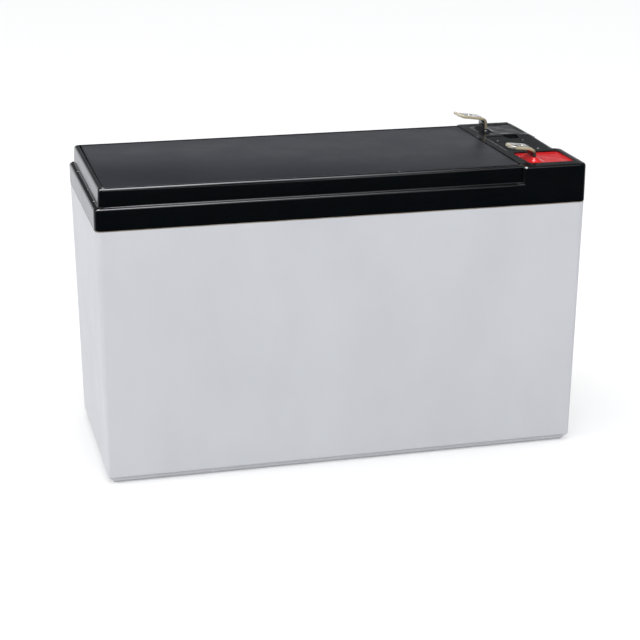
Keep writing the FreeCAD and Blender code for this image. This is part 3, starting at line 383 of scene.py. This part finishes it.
def makeTinPlate():
    look = tinLook
    material, tree, shader = newFinish("tinPlate", look["rough"], metallic=1.0)
    tone = useGroup(
        tree, toneMottle, (-500, 200), color=look["color"], tone=look["tone"],
        scale=look["patch"], amount=look["amount"],
    )
    marks = useGroup(tree, fineScratches, (-500, -100), **look["scratches"])
    grain = useGroup(
        tree, surfaceGrain, (-500, -400), scale=look["grain"], smooth=look["smooth"], rough=look["rough"],
    )
    place = addNode(tree, "ShaderNodeTexCoord", (-1300, 500))
    axes = addNode(tree, "ShaderNodeSeparateXYZ", (-1100, 500))
    link(tree, place.outputs["Object"], axes.inputs[0])
    x, y, z = axes.outputs
    # Pale brass shows where the strip was cut, on its long edges and round its tip
    fromPositive = mathNode(tree, "SUBTRACT", y, tabSides["positive"], (-900, 600))
    fromNegative = mathNode(tree, "SUBTRACT", y, tabSides["negative"], (-900, 450))
    fromPositive = mathNode(tree, "ABSOLUTE", fromPositive, None, (-750, 600))
    fromNegative = mathNode(tree, "ABSOLUTE", fromNegative, None, (-750, 450))
    fromMiddle = mathNode(tree, "MINIMUM", fromPositive, fromNegative, (-600, 500))
    cut = rampNode(tree, fromMiddle, look["cutFrom"], look["cutFull"], (-400, 500))
    tip = rampNode(tree, x, look["tipFrom"], look["tipFull"], (-400, 300))
    # Painted reflection: the upright is coloured darker than the blade, standing in for the dark plate it mirrors, and
    # the negative blade lies higher than the positive one
    rise = rampNode(tree, y, -look["between"], look["between"], (-900, 800), 0.0, look["negativeRise"])
    level = mathNode(tree, "SUBTRACT", z, rise, (-700, 800))
    below = rampNode(tree, level, look["bladeLevel"], look["bladeLevel"] - look["bladeFade"], (-500, 800))
    behind = rampNode(tree, x, look["uprightFrom"], look["uprightFull"], (-500, 1050))
    upright = mathNode(tree, "MULTIPLY", below, behind, (-300, 900))
    pole = rampNode(tree, y, -look["between"], look["between"], (-500, 1300))
    paintedShadeEdge = mixColor(tree, pole, look["paintedShadeEdges"]["positive"], look["paintedShadeEdges"]["negative"], (-300, 700))
    edgeTone = mixColor(tree, upright, look["edge"], paintedShadeEdge, (-150, 600))
    blade = mixColor(tree, tip, tone.outputs["Color"], look["tipTone"], (-300, 300))
    faceTone = mixColor(tree, upright, blade, look["paintedShade"], (-150, 300))
    color = mixColor(tree, cut, faceTone, edgeTone, (100, 300))
    bare = mathNode(tree, "MAXIMUM", cut, tip, (-50, 100))
    metallic = rampNode(tree, bare, 0.0, 1.0, (100, 100), 1.0, look["cutMetallic"])
    edgeRough = mathNode(tree, "MULTIPLY", bare, look["cutRough"], (100, -200))
    rough = mathNode(tree, "ADD", grain.outputs["Roughness"], edgeRough, (300, -150))
    link(tree, color, shader.inputs["Base Color"])
    link(tree, metallic, shader.inputs["Metallic"])
    link(tree, rough, shader.inputs["Roughness"])
    addBump(tree, shader, marks.outputs["Mask"], look["bump"], look["depth"])
    return material


finish["tinPlate"] = makeTinPlate()
print("finishes made:", len(finish))


# Every CAD node gets its finish

def finishOf(name):
    if name.endswith("positive_plates"):
        return "positivePaste"
    if name.endswith("negative_plates"):
        return "negativePaste"
    if name.endswith("separators"):
        return "glassMat"
    if name.endswith(("_strap", "_post")) or name.startswith("partition_weld"):
        return "castLead"
    if name.startswith("valve_cap") or name.endswith("_ring"):
        return "rubberBlack"
    return {
        "container": "containerGrey",
        "cover": "coverBlack",
        "cover_adhesive": "adhesiveBrown",
        "vent_cover": "ventBlack",
        "positive_tab": "tinPlate",
        "negative_tab": "tinPlate",
        "positive_resin": "resinRed",
        "negative_resin": "resinBlack",
    }[name]


for name, node in nodes.items():
    for slot in node.material_slots:
        slot.link = "DATA"
        slot.material = finish[finishOf(name)]


# Pieces that replace CAD nodes

def pickPiece(piece):
    deselectAll()
    bpy.context.view_layer.objects.active = piece
    piece.select_set(True)


def startEdit(piece):
    pickPiece(piece)
    bpy.ops.object.mode_set(mode="EDIT")
    bpy.ops.mesh.select_all(action="DESELECT")


def endEdit(piece):
    bmesh.update_edit_mesh(piece.data)
    bpy.ops.object.mode_set(mode="OBJECT")


def pickEdges(piece, test):
    # Selects the edges that pass the test, in edit mode, and says how many
    shape = bmesh.from_edit_mesh(piece.data)
    bpy.ops.mesh.select_mode(type="EDGE")
    bpy.ops.mesh.select_all(action="DESELECT")
    picked = [edge for edge in shape.edges if test(edge)]
    for edge in picked:
        edge.select_set(True)
    shape.select_flush_mode()
    bmesh.update_edit_mesh(piece.data)
    return len(picked)


def middleOf(edge):
    start, end = (corner.co for corner in edge.verts)
    return (start + end) / 2


def isUpright(edge):
    start, end = (corner.co for corner in edge.verts)
    return abs((end - start).normalized().z) > 0.9


def roundEdges(piece, width, steps, test, clamp=False):
    startEdit(piece)
    picked = pickEdges(piece, test)
    bpy.ops.mesh.bevel(offset=width, segments=steps, affect="EDGES", profile=0.5, clamp_overlap=clamp)
    endEdit(piece)
    print(piece.name, "edges rounded:", picked)


def addBlock(name, low, high):
    deselectAll()
    bpy.ops.mesh.primitive_cube_add(size=1.0)
    block = bpy.context.object
    block.name = name
    middle = (Vector(low) + Vector(high)) / 2
    for corner in block.data.vertices:
        for axis in range(3):
            corner.co[axis] = middle[axis] + corner.co[axis] * (high[axis] - low[axis])
    return block


def addTube(name, x, y, radius, low, high):
    deselectAll()
    bpy.ops.mesh.primitive_cylinder_add(vertices=24, radius=radius, depth=high - low)
    tube = bpy.context.object
    tube.name = name
    for corner in tube.data.vertices:
        corner.co += Vector((x, y, (low + high) / 2))
    return tube


def applyModifier(piece, kind, **values):
    pickPiece(piece)
    modifier = piece.modifiers.new(kind.lower(), kind)
    for name, value in values.items():
        setattr(modifier, name, value)
    bpy.ops.object.modifier_apply(modifier=modifier.name)


def cutBy(piece, tool):
    applyModifier(piece, "BOOLEAN", object=tool, operation="DIFFERENCE", solver="EXACT")
    bpy.data.objects.remove(tool)


def finishPiece(piece, look, replaced, angle):
    # Edges that turn by more than angle, in degrees, stay sharp
    pickPiece(piece)
    bpy.ops.object.shade_smooth_by_angle(angle=math.radians(angle))
    piece.data.materials.clear()
    piece.data.materials.append(finish[look])
    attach(piece, "root")
    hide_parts(replaced)


# Push-on tabs: a strip drawn along its bent middle line, then thickened

tabLook = {
    "width": 0.00635,
    "thickness": 0.0008,
    "footEnd": 0.06943,
    "footLevel": coverTop - 0.0042,
    "footBend": 0.0010,
    "footSteps": 6,
    "upright": 0.06113,
    "bendSteps": 9,
    "tipLength": 0.0021,
    "tipSteps": ((0.0007, 0.92), (0.0006, 0.86), (0.0005, 0.80), (0.0003, 0.72)),  # length, and share of width left
    "hole": {"radius": 0.00085, "fromTip": 0.0046, "reach": 0.002},
    "spigot": {"x": 0.06543, "radius": 0.0017, "low": coverTop - 0.0055, "high": coverTop - 0.0025},
    "edgeRounding": 0.00011,
    "positive": {"bend": 0.0022, "top": coverTop + 0.0013, "tip": (0.0531, coverTop + 0.0042), "curl": 0.00008},
    "negative": {"bend": 0.0016, "top": coverTop + 0.0025, "tip": (0.0514, coverTop + 0.0052), "curl": 0.0006},
}


def extrude(value):
    bpy.ops.mesh.extrude_region_move(TRANSFORM_OT_translate={"value": value})


def makeTab(pole):
    look, own = tabLook, tabLook[pole]
    side, bend, upright = tabSides[pole], own["bend"], look["upright"]
    footStart = upright + look["footBend"]
    uprightStart = look["footLevel"] + look["footBend"]
    deselectAll()
    bpy.ops.mesh.primitive_plane_add(size=1.0)
    tab = bpy.context.object
    tab.name = pole + "Tab"
    for corner in tab.data.vertices:
        corner.co.x = look["footEnd"] if corner.co.x > 0 else footStart
        corner.co.y = side + corner.co.y * look["width"]
        corner.co.z = look["footLevel"]
    startEdit(tab)
    pickEdges(tab, lambda edge: middleOf(edge).x < footStart + 1e-5)
    bpy.ops.mesh.spin(
        steps=look["footSteps"], angle=-math.pi / 2, center=(footStart, side, uprightStart), axis=(0, 1, 0),
    )
    extrude((0, 0, own["top"] - look["footLevel"] - look["footBend"]))
    # The large bend ends where the straight blade to the tip leaves it
    centre = Vector((upright - bend, 0, own["top"]))
    tip = Vector((own["tip"][0], 0, own["tip"][1]))
    toTip = tip - centre
    bearing = math.atan2(toTip.z, toTip.x) - math.acos(bend / toTip.length)
    bpy.ops.mesh.spin(steps=look["bendSteps"], angle=bearing, center=(centre.x, side, centre.z), axis=(0, 1, 0))
    bladeStart = centre + Vector((math.cos(bearing), 0, math.sin(bearing))) * bend
    blade = tip - bladeStart
    ahead = blade.normalized()
    # The blade runs straight, then narrows to its tip in short steps and curls up a little
    extrude(ahead * (blade.length - look["tipLength"]))
    for step, share in look["tipSteps"]:
        extrude(ahead * step + Vector((0, 0, own["curl"] / len(look["tipSteps"]))))
        bpy.ops.transform.resize(value=(1, share, 1), center_override=(0, side, 0))
    endEdit(tab)
    applyModifier(tab, "SOLIDIFY", thickness=look["thickness"], offset=0.0, use_even_offset=True)
    hole, spigot = look["hole"], look["spigot"]
    middle = tip - ahead * hole["fromTip"]
    low, high = middle.z - hole["reach"], middle.z + hole["reach"]
    cutBy(tab, addTube("holeTool", middle.x, side, hole["radius"], low, high))
    cutBy(tab, addTube("spigotTool", spigot["x"], side, spigot["radius"], spigot["low"], spigot["high"]))
    applyModifier(tab, "BEVEL", width=look["edgeRounding"], segments=3, limit_method="ANGLE", angle_limit=0.9)
    finishPiece(tab, "tinPlate", pole + "_tab", 40)


for pole in ("positive", "negative"):
    makeTab(pole)
print("tabs made")


# Cover: the solid's form, settled as moulded, with small roundings on its top edges

coverLook = {
    "merge": 2e-6,
    "flat": 0.6,  # degrees by which faces may turn and still be one
    "rounding": 0.00018,
    "sharp": 50,  # edges that turn by more degrees are rounded, in the band below the top
    "topBand": 0.0021,
    "cuts": (-0.060, -0.048, -0.036, -0.024, -0.012, 0.0, 0.012, 0.024, 0.036, 0.048, 0.0730),
    "deck": {"left": 0.0579, "halfWidth": 0.0119, "drop": 0.0011, "rearShare": 0.10, "frontShare": 1.0, "fade": 0.001},
    "rim": {"side": -0.0112, "radius": 0.00072, "share": 0.25, "lift": 0.0001},
    "notch": {
        "low": 0.0079, "high": 0.0106, "rear": 0.0113, "end": 0.0715, "middle": 0.0666, "half": 0.00245,
        "reach": 0.0032, "bow": 0.85, "wallTop": 0.0001, "shallow": 0.0013, "deep": 0.004, "lift": 0.0003,
    },
    "ledge": {"flat": coverTop - 0.0054, "low": coverTop - 0.0061, "high": coverTop - 0.0042, "drop": 0.00026},
    "leftLedge": {
        "face": -0.0744, "arc": -0.0723, "arcWidth": 0.0016, "arcHeight": 0.00045, "draft": 0.00025, "root": 0.2,
        "start": -0.0742, "width": 0.0013, "slope": 0.00024,
    },
    "front": {
        "start": -0.0290, "end": -0.0312, "depth": 0.0016,
        "sag": 0.00025, "sagFrom": 0.0004, "middle": -0.035, "half": 0.035,
        "drops": (
            (-0.0756, 0.00020), (-0.040, 0.00030), (-0.005, 0.00068), (0.020, 0.00068), (0.040, 0.00045),
            (0.054, 0.00030), (0.0756, 0.00022),
        ),
    },
    "end": {
        "start": 0.0730, "length": 0.0025, "depth": 0.0030, "fadeFrom": 0.001, "fade": 0.0022,
        "drops": ((-0.0325, 0.00022), (-0.0112, 0.00035), (0.0112, 0.00105), (0.0325, 0.00095)),
    },
}


def copyNode(name, label):
    source = nodes[name]
    deselectAll()
    piece = source.copy()
    piece.data = source.data.copy()
    piece.name = label
    bpy.context.scene.collection.objects.link(piece)
    world = source.matrix_world.copy()
    piece.parent = None
    piece.matrix_world = world
    return piece


def sharpenRim(cover):
    # The front block's rear edge is nearly sharp, and the notch reaches further forward on the tilted deck
    rim, notch = coverLook["rim"], coverLook["notch"]
    for corner in cover.data.vertices:
        place = corner.co
        down = coverTop - place.z
        if place.x < coverLook["deck"]["left"] - 1e-5:
            continue
        if rim["side"] - rim["radius"] < place.y < rim["side"] + 1e-5 and down < rim["radius"]:
            place.y = rim["side"] + (place.y - rim["side"]) * rim["share"]
            place.z = coverTop - down * rim["share"] + rim["lift"]
        if place.x >= notch["end"]:
            continue
        if notch["low"] < place.y < notch["high"] and down > notch["wallTop"]:
            across = (place.x - notch["middle"]) / notch["half"]
            place.y -= notch["reach"] * max(1 - notch["bow"] * across ** 2, 0)
        if notch["low"] - notch["reach"] < place.y < notch["rear"] and notch["shallow"] < down < notch["deep"]:
            place.z += notch["lift"]


def tiltDeck(cover):
    # The deck lies higher at its rear, so the step up to the rear block is hardly one
    deck = coverLook["deck"]
    for corner in cover.data.vertices:
        place = corner.co
        down = coverTop - place.z
        if place.x < deck["left"] or abs(place.y) > deck["halfWidth"] or down < 1e-6:
            continue
        if down > deck["drop"] + deck["fade"]:
            continue
        along = (place.y + deck["halfWidth"]) / (2 * deck["halfWidth"])
        share = deck["frontShare"] + (deck["rearShare"] - deck["frontShare"]) * along
        if down <= deck["drop"] + 1e-5:
            place.z = coverTop - down * share
        else:
            fade = 1 - (down - deck["drop"]) / deck["fade"]
            place.z += deck["drop"] * (1 - share) * fade


def between(value, steps):
    # The height of a line of straight pieces at value
    for (low, lowHeight), (high, highHeight) in zip(steps, steps[1:]):
        if low <= value <= high:
            return lowHeight + (highHeight - lowHeight) * (value - low) / (high - low)
    return steps[0][1] if value < steps[0][0] else steps[-1][1]


def settleCover(cover):
    # As moulded: the ledge a little low, the top's front edge drawn down, the end edge rounder to the rear
    ledge, left, front, end = (coverLook[name] for name in ("ledge", "leftLedge", "front", "end"))
    for corner in cover.data.vertices:
        place = corner.co
        down = coverTop - place.z
        if place.x < left["arc"] and ledge["flat"] - 1e-5 <= place.z < ledge["flat"] + left["arcHeight"]:
            # The left wall stands out at its foot, with hardly a hollow there
            if place.x > left["face"]:
                place.x -= left["draft"] * min((left["arc"] - place.x) / left["arcWidth"], 1)
            place.z = ledge["flat"] + (place.z - ledge["flat"]) * left["root"]
        if ledge["low"] < place.z < ledge["high"]:
            outward = min(max((left["start"] - place.x) / left["width"], 0), 1)
            place.z -= ledge["drop"] + left["slope"] * outward
        if down < front["depth"]:
            reach = (front["start"] - place.y) / (front["start"] - front["end"])
            sag = front["sag"] * max(1 - ((place.x - front["middle"]) / front["half"]) ** 2, 0)
            drop = between(place.x, front["drops"]) + sag * (down > front["sagFrom"])
            place.z -= drop * min(max(reach, 0), 1)
        if down < end["depth"] and place.x > end["start"]:
            reach = min((place.x - end["start"]) / end["length"], 1)
            drop = between(place.y, end["drops"])
            place.z -= drop * reach * (1 - max(down - end["fadeFrom"], 0) / end["fade"])


def isTopEdge(edge):
    # A sharp outer edge in the band below the top
    if len(edge.link_faces) != 2 or not edge.is_convex:
        return False
    lowest = min(corner.co.z for corner in edge.verts)
    turn = math.degrees(edge.calc_face_angle(0.0))
    return turn > coverLook["sharp"] and lowest > coverTop - coverLook["topBand"]


def makeCover():
    look = coverLook
    cover = copyNode("cover", "coverShell")
    # The loose triangles are merged, flat faces made one, and cuts across give the long edges points to bend at
    startEdit(cover)
    bpy.ops.mesh.select_all(action="SELECT")
    bpy.ops.mesh.remove_doubles(threshold=look["merge"])
    endEdit(cover)
    bpy.ops.mesh.customdata_custom_splitnormals_clear()
    startEdit(cover)
    bpy.ops.mesh.select_all(action="SELECT")
    bpy.ops.mesh.dissolve_limited(angle_limit=math.radians(look["flat"]), delimit=set())
    for cut in look["cuts"]:
        bpy.ops.mesh.select_all(action="SELECT")
        bpy.ops.mesh.bisect(plane_co=(cut, 0, 0), plane_no=(1, 0, 0))
    endEdit(cover)
    sharpenRim(cover)
    tiltDeck(cover)
    settleCover(cover)
    roundEdges(cover, look["rounding"], 3, isTopEdge, clamp=True)
    finishPiece(cover, "coverBlack", "cover", 35)
    applyModifier(cover, "WEIGHTED_NORMAL", keep_sharp=True, weight=100)


makeCover()
print("cover made")


# Vent cover: a thin plate with softened corners, lying a trace askew

ventLook = {
    "corner": 0.0008, "cornerSteps": 5, "edge": 0.00028, "edgeSteps": 3,
    "shift": (0.00006, 0, 0), "turn": 0.0020, "skew": 0.00026,
}


def makeVentPlate():
    look = ventLook
    low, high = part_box("vent_cover")
    plate = addBlock("ventPlate", low, high)
    roundEdges(plate, look["corner"], look["cornerSteps"], isUpright)
    roundEdges(plate, look["edge"], look["edgeSteps"], lambda edge: middleOf(edge).z > high[2] - 1e-5)
    startEdit(plate)
    bpy.ops.mesh.select_all(action="SELECT")
    bpy.ops.transform.translate(value=look["shift"])
    bpy.ops.transform.rotate(value=look["turn"], orient_axis="Z", center_override=(0, 0, 0))
    endEdit(plate)
    for corner in plate.data.vertices:
        # The left end is drawn in towards the rear, where the groove shows widest
        right = (corner.co.x - low[0]) / (high[0] - low[0])
        rear = (corner.co.y - low[1]) / (high[1] - low[1])
        corner.co.x += look["skew"] * (1 - right) * rear
    finishPiece(plate, "ventBlack", "vent_cover", 35)


makeVentPlate()
print("vent plate made")


# Resin pools: a drawn-up edge at the wall and at the tab, and a slightly uneven surface

poolLook = {
    "cells": 44,
    "corner": 0.0013,
    "wallRise": 0.00009,
    "wallReach": 0.0005,
    "tabHalf": (0.0004, 0.0032),  # half the tab's upright, along and across the battery
    "tabReach": 0.0011,
    "unevenness": 0.00002,
    "waves": ((900, 1.3), (700, 0.4)),
    "positive": {"rise": 0.0013, "finish": "resinRed", "slot": "red_resin"},
    "negative": {"rise": 0.0009, "finish": "resinBlack", "slot": "black_resin"},
}


def makePool(pole):
    look, own = poolLook, poolLook[pole]
    low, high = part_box(pole + "_resin")
    half = Vector(((high[0] - low[0]) / 2, (high[1] - low[1]) / 2, 0))
    middle = Vector(((high[0] + low[0]) / 2, (high[1] + low[1]) / 2, 0))
    deselectAll()
    bpy.ops.mesh.primitive_grid_add(x_subdivisions=look["cells"], y_subdivisions=look["cells"], size=2.0)
    pool = bpy.context.object
    pool.name = pole + "Pool"
    inner = half - Vector((look["corner"], look["corner"], 0))
    (waveX, shiftX), (waveY, shiftY) = look["waves"]
    for corner in pool.data.vertices:
        # Square grid drawn in to the well's rounded corners
        flat = Vector((corner.co.x * half.x, corner.co.y * half.y, 0))
        over = Vector((max(abs(flat.x) - inner.x, 0), max(abs(flat.y) - inner.y, 0), 0))
        toWall = min(half.x - abs(flat.x), half.y - abs(flat.y))
        if over.length > 0:
            reach = max(over.x, over.y)
            drawn = over * (reach / over.length)
            flat.x = math.copysign(min(abs(flat.x), inner.x) + drawn.x, flat.x)
            flat.y = math.copysign(min(abs(flat.y), inner.y) + drawn.y, flat.y)
            toWall = look["corner"] - reach
        place = middle + flat
        fromTabX = max(abs(place.x - tabLook["upright"]) - look["tabHalf"][0], 0)
        fromTabY = max(abs(place.y - tabSides[pole]) - look["tabHalf"][1], 0)
        away = Vector((fromTabX, fromTabY, 0)).length
        rise = look["wallRise"] * math.exp(-toWall / look["wallReach"])
        rise += own["rise"] * math.exp(-((away / look["tabReach"]) ** 2))
        rise += look["unevenness"] * math.sin(place.x * waveX + shiftX) * math.cos(place.y * waveY + shiftY)
        corner.co = Vector((place.x, place.y, high[2] - look["wallRise"] * 0.5 + rise))
    startEdit(pool)
    bpy.ops.mesh.select_all(action="SELECT")
    extrude((0, 0, low[2] - high[2]))
    bpy.ops.transform.resize(value=(1, 1, 0), center_override=(0, 0, low[2]))
    bpy.ops.mesh.select_all(action="SELECT")
    bpy.ops.mesh.normals_make_consistent(inside=False)
    endEdit(pool)
    finishPiece(pool, own["finish"], pole + "_resin", 50)


for pole in ("positive", "negative"):
    makePool(pole)
print("resin pools made")


# Floor, light and camera

floorLook = {
    "size": 6.0,
    "color": (0.685, 0.680, 0.674),
    "tone": (0.675, 0.670, 0.664),
    "patch": 2.0,
    "burn": 0.225,  # light added to it where the camera sees it
}


def makeFloor():
    look = floorLook
    deselectAll()
    bpy.ops.mesh.primitive_plane_add(size=look["size"], location=(0, 0, 0))
    floor = bpy.context.object
    floor.name = "floor"
    material, tree, shader = newFinish("floorWhite", 0.9, specular=0.0)
    tone = useGroup(tree, toneMottle, (-300, 0), color=look["color"], tone=look["tone"], scale=look["patch"])
    link(tree, tone.outputs["Color"], shader.inputs["Base Color"])
    # The studio sweep is burnt out: what the camera sees of it is lifted, the light it throws back isn't
    seen = addNode(tree, "ShaderNodeLightPath", (0, -300))
    lift = mixColor(tree, seen.outputs["Is Camera Ray"], (0, 0, 0), (1, 1, 1), (300, -300))
    link(tree, lift, shader.inputs["Emission Color"])
    shader.inputs["Emission Strength"].default_value = look["burn"]
    floor.data.materials.append(material)
    floor.visible_glossy = False


softboxes = {
    "topSoftbox": {"place": (-0.05, -0.32, 0.75), "target": (-0.04, 0, 0.05), "size": (0.30, 0.34), "power": 1.1},
    "frontSoftbox": {"place": (0.05, -1.1, 0.85), "target": (0, 0, 0.05), "size": (1.2, 0.7), "power": 3.0},
    "leftSoftbox": {"place": (-1.0, -0.1, 0.55), "target": (-0.07, 0, 0.05), "size": (0.7, 0.7), "power": 3.2},
}


def addSoftbox(name, place, target, size, power):
    light = bpy.data.lights.new(name, "AREA")
    light.shape = "RECTANGLE"
    light.size, light.size_y = size
    light.energy = power
    box = bpy.data.objects.new(name, light)
    bpy.context.scene.collection.objects.link(box)
    box.location = place
    box.rotation_euler = (Vector(target) - Vector(place)).to_track_quat("-Z", "Y").to_euler()


# Each pair is where an effect starts and where it is full, on the direction's x, y or z
worldLook = {
    "seen": 0.985,
    "fill": {"strength": 1.05, "front": (0.3, -0.6), "tint": (0.955, 0.985, 1.035)},
    "gloss": {
        "color": (0.775, 0.792, 0.830, 1.0), "back": (-0.1, 0.6), "fall": (0.128, 0.198),
        "horizon": 1.15, "ceiling": 0.13, "ceilingHigh": 0.6,
    },
    "strip": {
        "strength": 16.5, "high": (0.62, 0.76), "back": (-0.45, -0.15), "front": (0.45, 0.22), "end": (0.32, 0.14),
    },
}


def makeWorld():
    # White behind the object, a soft fill, and a darker room in what the gloss reflects
    fill, gloss, strip = (worldLook[name] for name in ("fill", "gloss", "strip"))
    world = bpy.data.worlds.new("studio")
    bpy.context.scene.world = world
    world.use_nodes = True
    tree = world.node_tree
    tree.nodes.clear()
    place = addNode(tree, "ShaderNodeTexCoord", (-1200, 0))
    axes = addNode(tree, "ShaderNodeSeparateXYZ", (-1000, 0))
    link(tree, place.outputs["Generated"], axes.inputs[0])
    x, y, z = axes.outputs
    # Gloss: bright low at the back, fading up to a dim ceiling, and nearly nothing low in front
    back = rampNode(tree, y, *gloss["back"], (-800, 100))
    fall = rampNode(tree, z, *gloss["fall"], (-800, -200), gloss["horizon"], gloss["ceiling"])
    glowBack = mathNode(tree, "MULTIPLY", back, fall, (-550, 0))
    above = rampNode(tree, z, 0.0, gloss["ceilingHigh"], (-800, -500), 0.0, gloss["ceiling"])
    glow = mathNode(tree, "MAXIMUM", glowBack, above, (-300, -100))
    # A bright strip high at the back draws the line along the cover's front edge, and ends to the right
    bright = rampNode(tree, z, *strip["high"], (-800, -800))
    bounds = ((y, strip["back"]), (y, strip["front"]), (x, strip["end"]))
    for number, (axis, limits) in enumerate(bounds):
        side = rampNode(tree, axis, *limits, (-800, -1050 - 250 * number))
        bright = mathNode(tree, "MULTIPLY", bright, side, (-550 + 80 * number, -900))
    bright = mathNode(tree, "MULTIPLY", bright, strip["strength"], (-250, -900))
    glow = mathNode(tree, "ADD", glow, bright, (-100, -300))
    glossy = addNode(tree, "ShaderNodeBackground", (0, -100))
    glossy.inputs["Color"].default_value = gloss["color"]
    link(tree, glow, glossy.inputs["Strength"])
    soft = addNode(tree, "ShaderNodeBackground", (0, 100))
    soft.inputs["Strength"].default_value = fill["strength"]
    front = rampNode(tree, y, *fill["front"], (-300, 400))
    tint = mixColor(tree, front, (1.0, 1.0, 1.0), fill["tint"], (-150, 300))
    link(tree, tint, soft.inputs["Color"])
    seen = addNode(tree, "ShaderNodeBackground", (0, 300))
    seen.inputs["Strength"].default_value = worldLook["seen"]
    path = addNode(tree, "ShaderNodeLightPath", (0, 600))
    mixGloss = addNode(tree, "ShaderNodeMixShader", (250, 0))
    link(tree, path.outputs["Is Glossy Ray"], mixGloss.inputs[0])
    link(tree, soft.outputs[0], mixGloss.inputs[1])
    link(tree, glossy.outputs[0], mixGloss.inputs[2])
    mixSeen = addNode(tree, "ShaderNodeMixShader", (450, 100))
    link(tree, path.outputs["Is Camera Ray"], mixSeen.inputs[0])
    link(tree, mixGloss.outputs[0], mixSeen.inputs[1])
    link(tree, seen.outputs[0], mixSeen.inputs[2])
    output = addNode(tree, "ShaderNodeOutputWorld", (650, 100))
    link(tree, mixSeen.outputs[0], output.inputs["Surface"])


cameraLook = {
    "place": (-0.12864, -0.50058, 0.20574),
    "turn": 14.352,
    "tilt": 18.111,
    "roll": 0.082,
    "lens": 94.83,
}


def makeCamera():
    turn, tilt, roll = (math.radians(cameraLook[name]) for name in ("turn", "tilt", "roll"))
    ahead = Vector((math.sin(turn) * math.cos(tilt), math.cos(turn) * math.cos(tilt), -math.sin(tilt)))
    right = ahead.cross(Vector((0, 0, 1))).normalized()
    up = right.cross(ahead)
    across = right * math.cos(roll) + up * math.sin(roll)
    upward = up * math.cos(roll) - right * math.sin(roll)
    data = bpy.data.cameras.new("camera")
    data.lens = cameraLook["lens"]
    data.sensor_width = 36.0
    data.clip_start = 0.01
    data.clip_end = 50.0
    camera = bpy.data.objects.new("camera", data)
    bpy.context.scene.collection.objects.link(camera)
    turned = Matrix((across, upward, -ahead)).transposed().to_4x4()
    camera.matrix_world = Matrix.Translation(cameraLook["place"]) @ turned
    bpy.context.scene.camera = camera


makeFloor()
makeWorld()
for name, look in softboxes.items():
    addSoftbox(name, **look)
makeCamera()
bpy.context.scene.view_settings.view_transform = "Standard"
print("floor, light and camera placed")
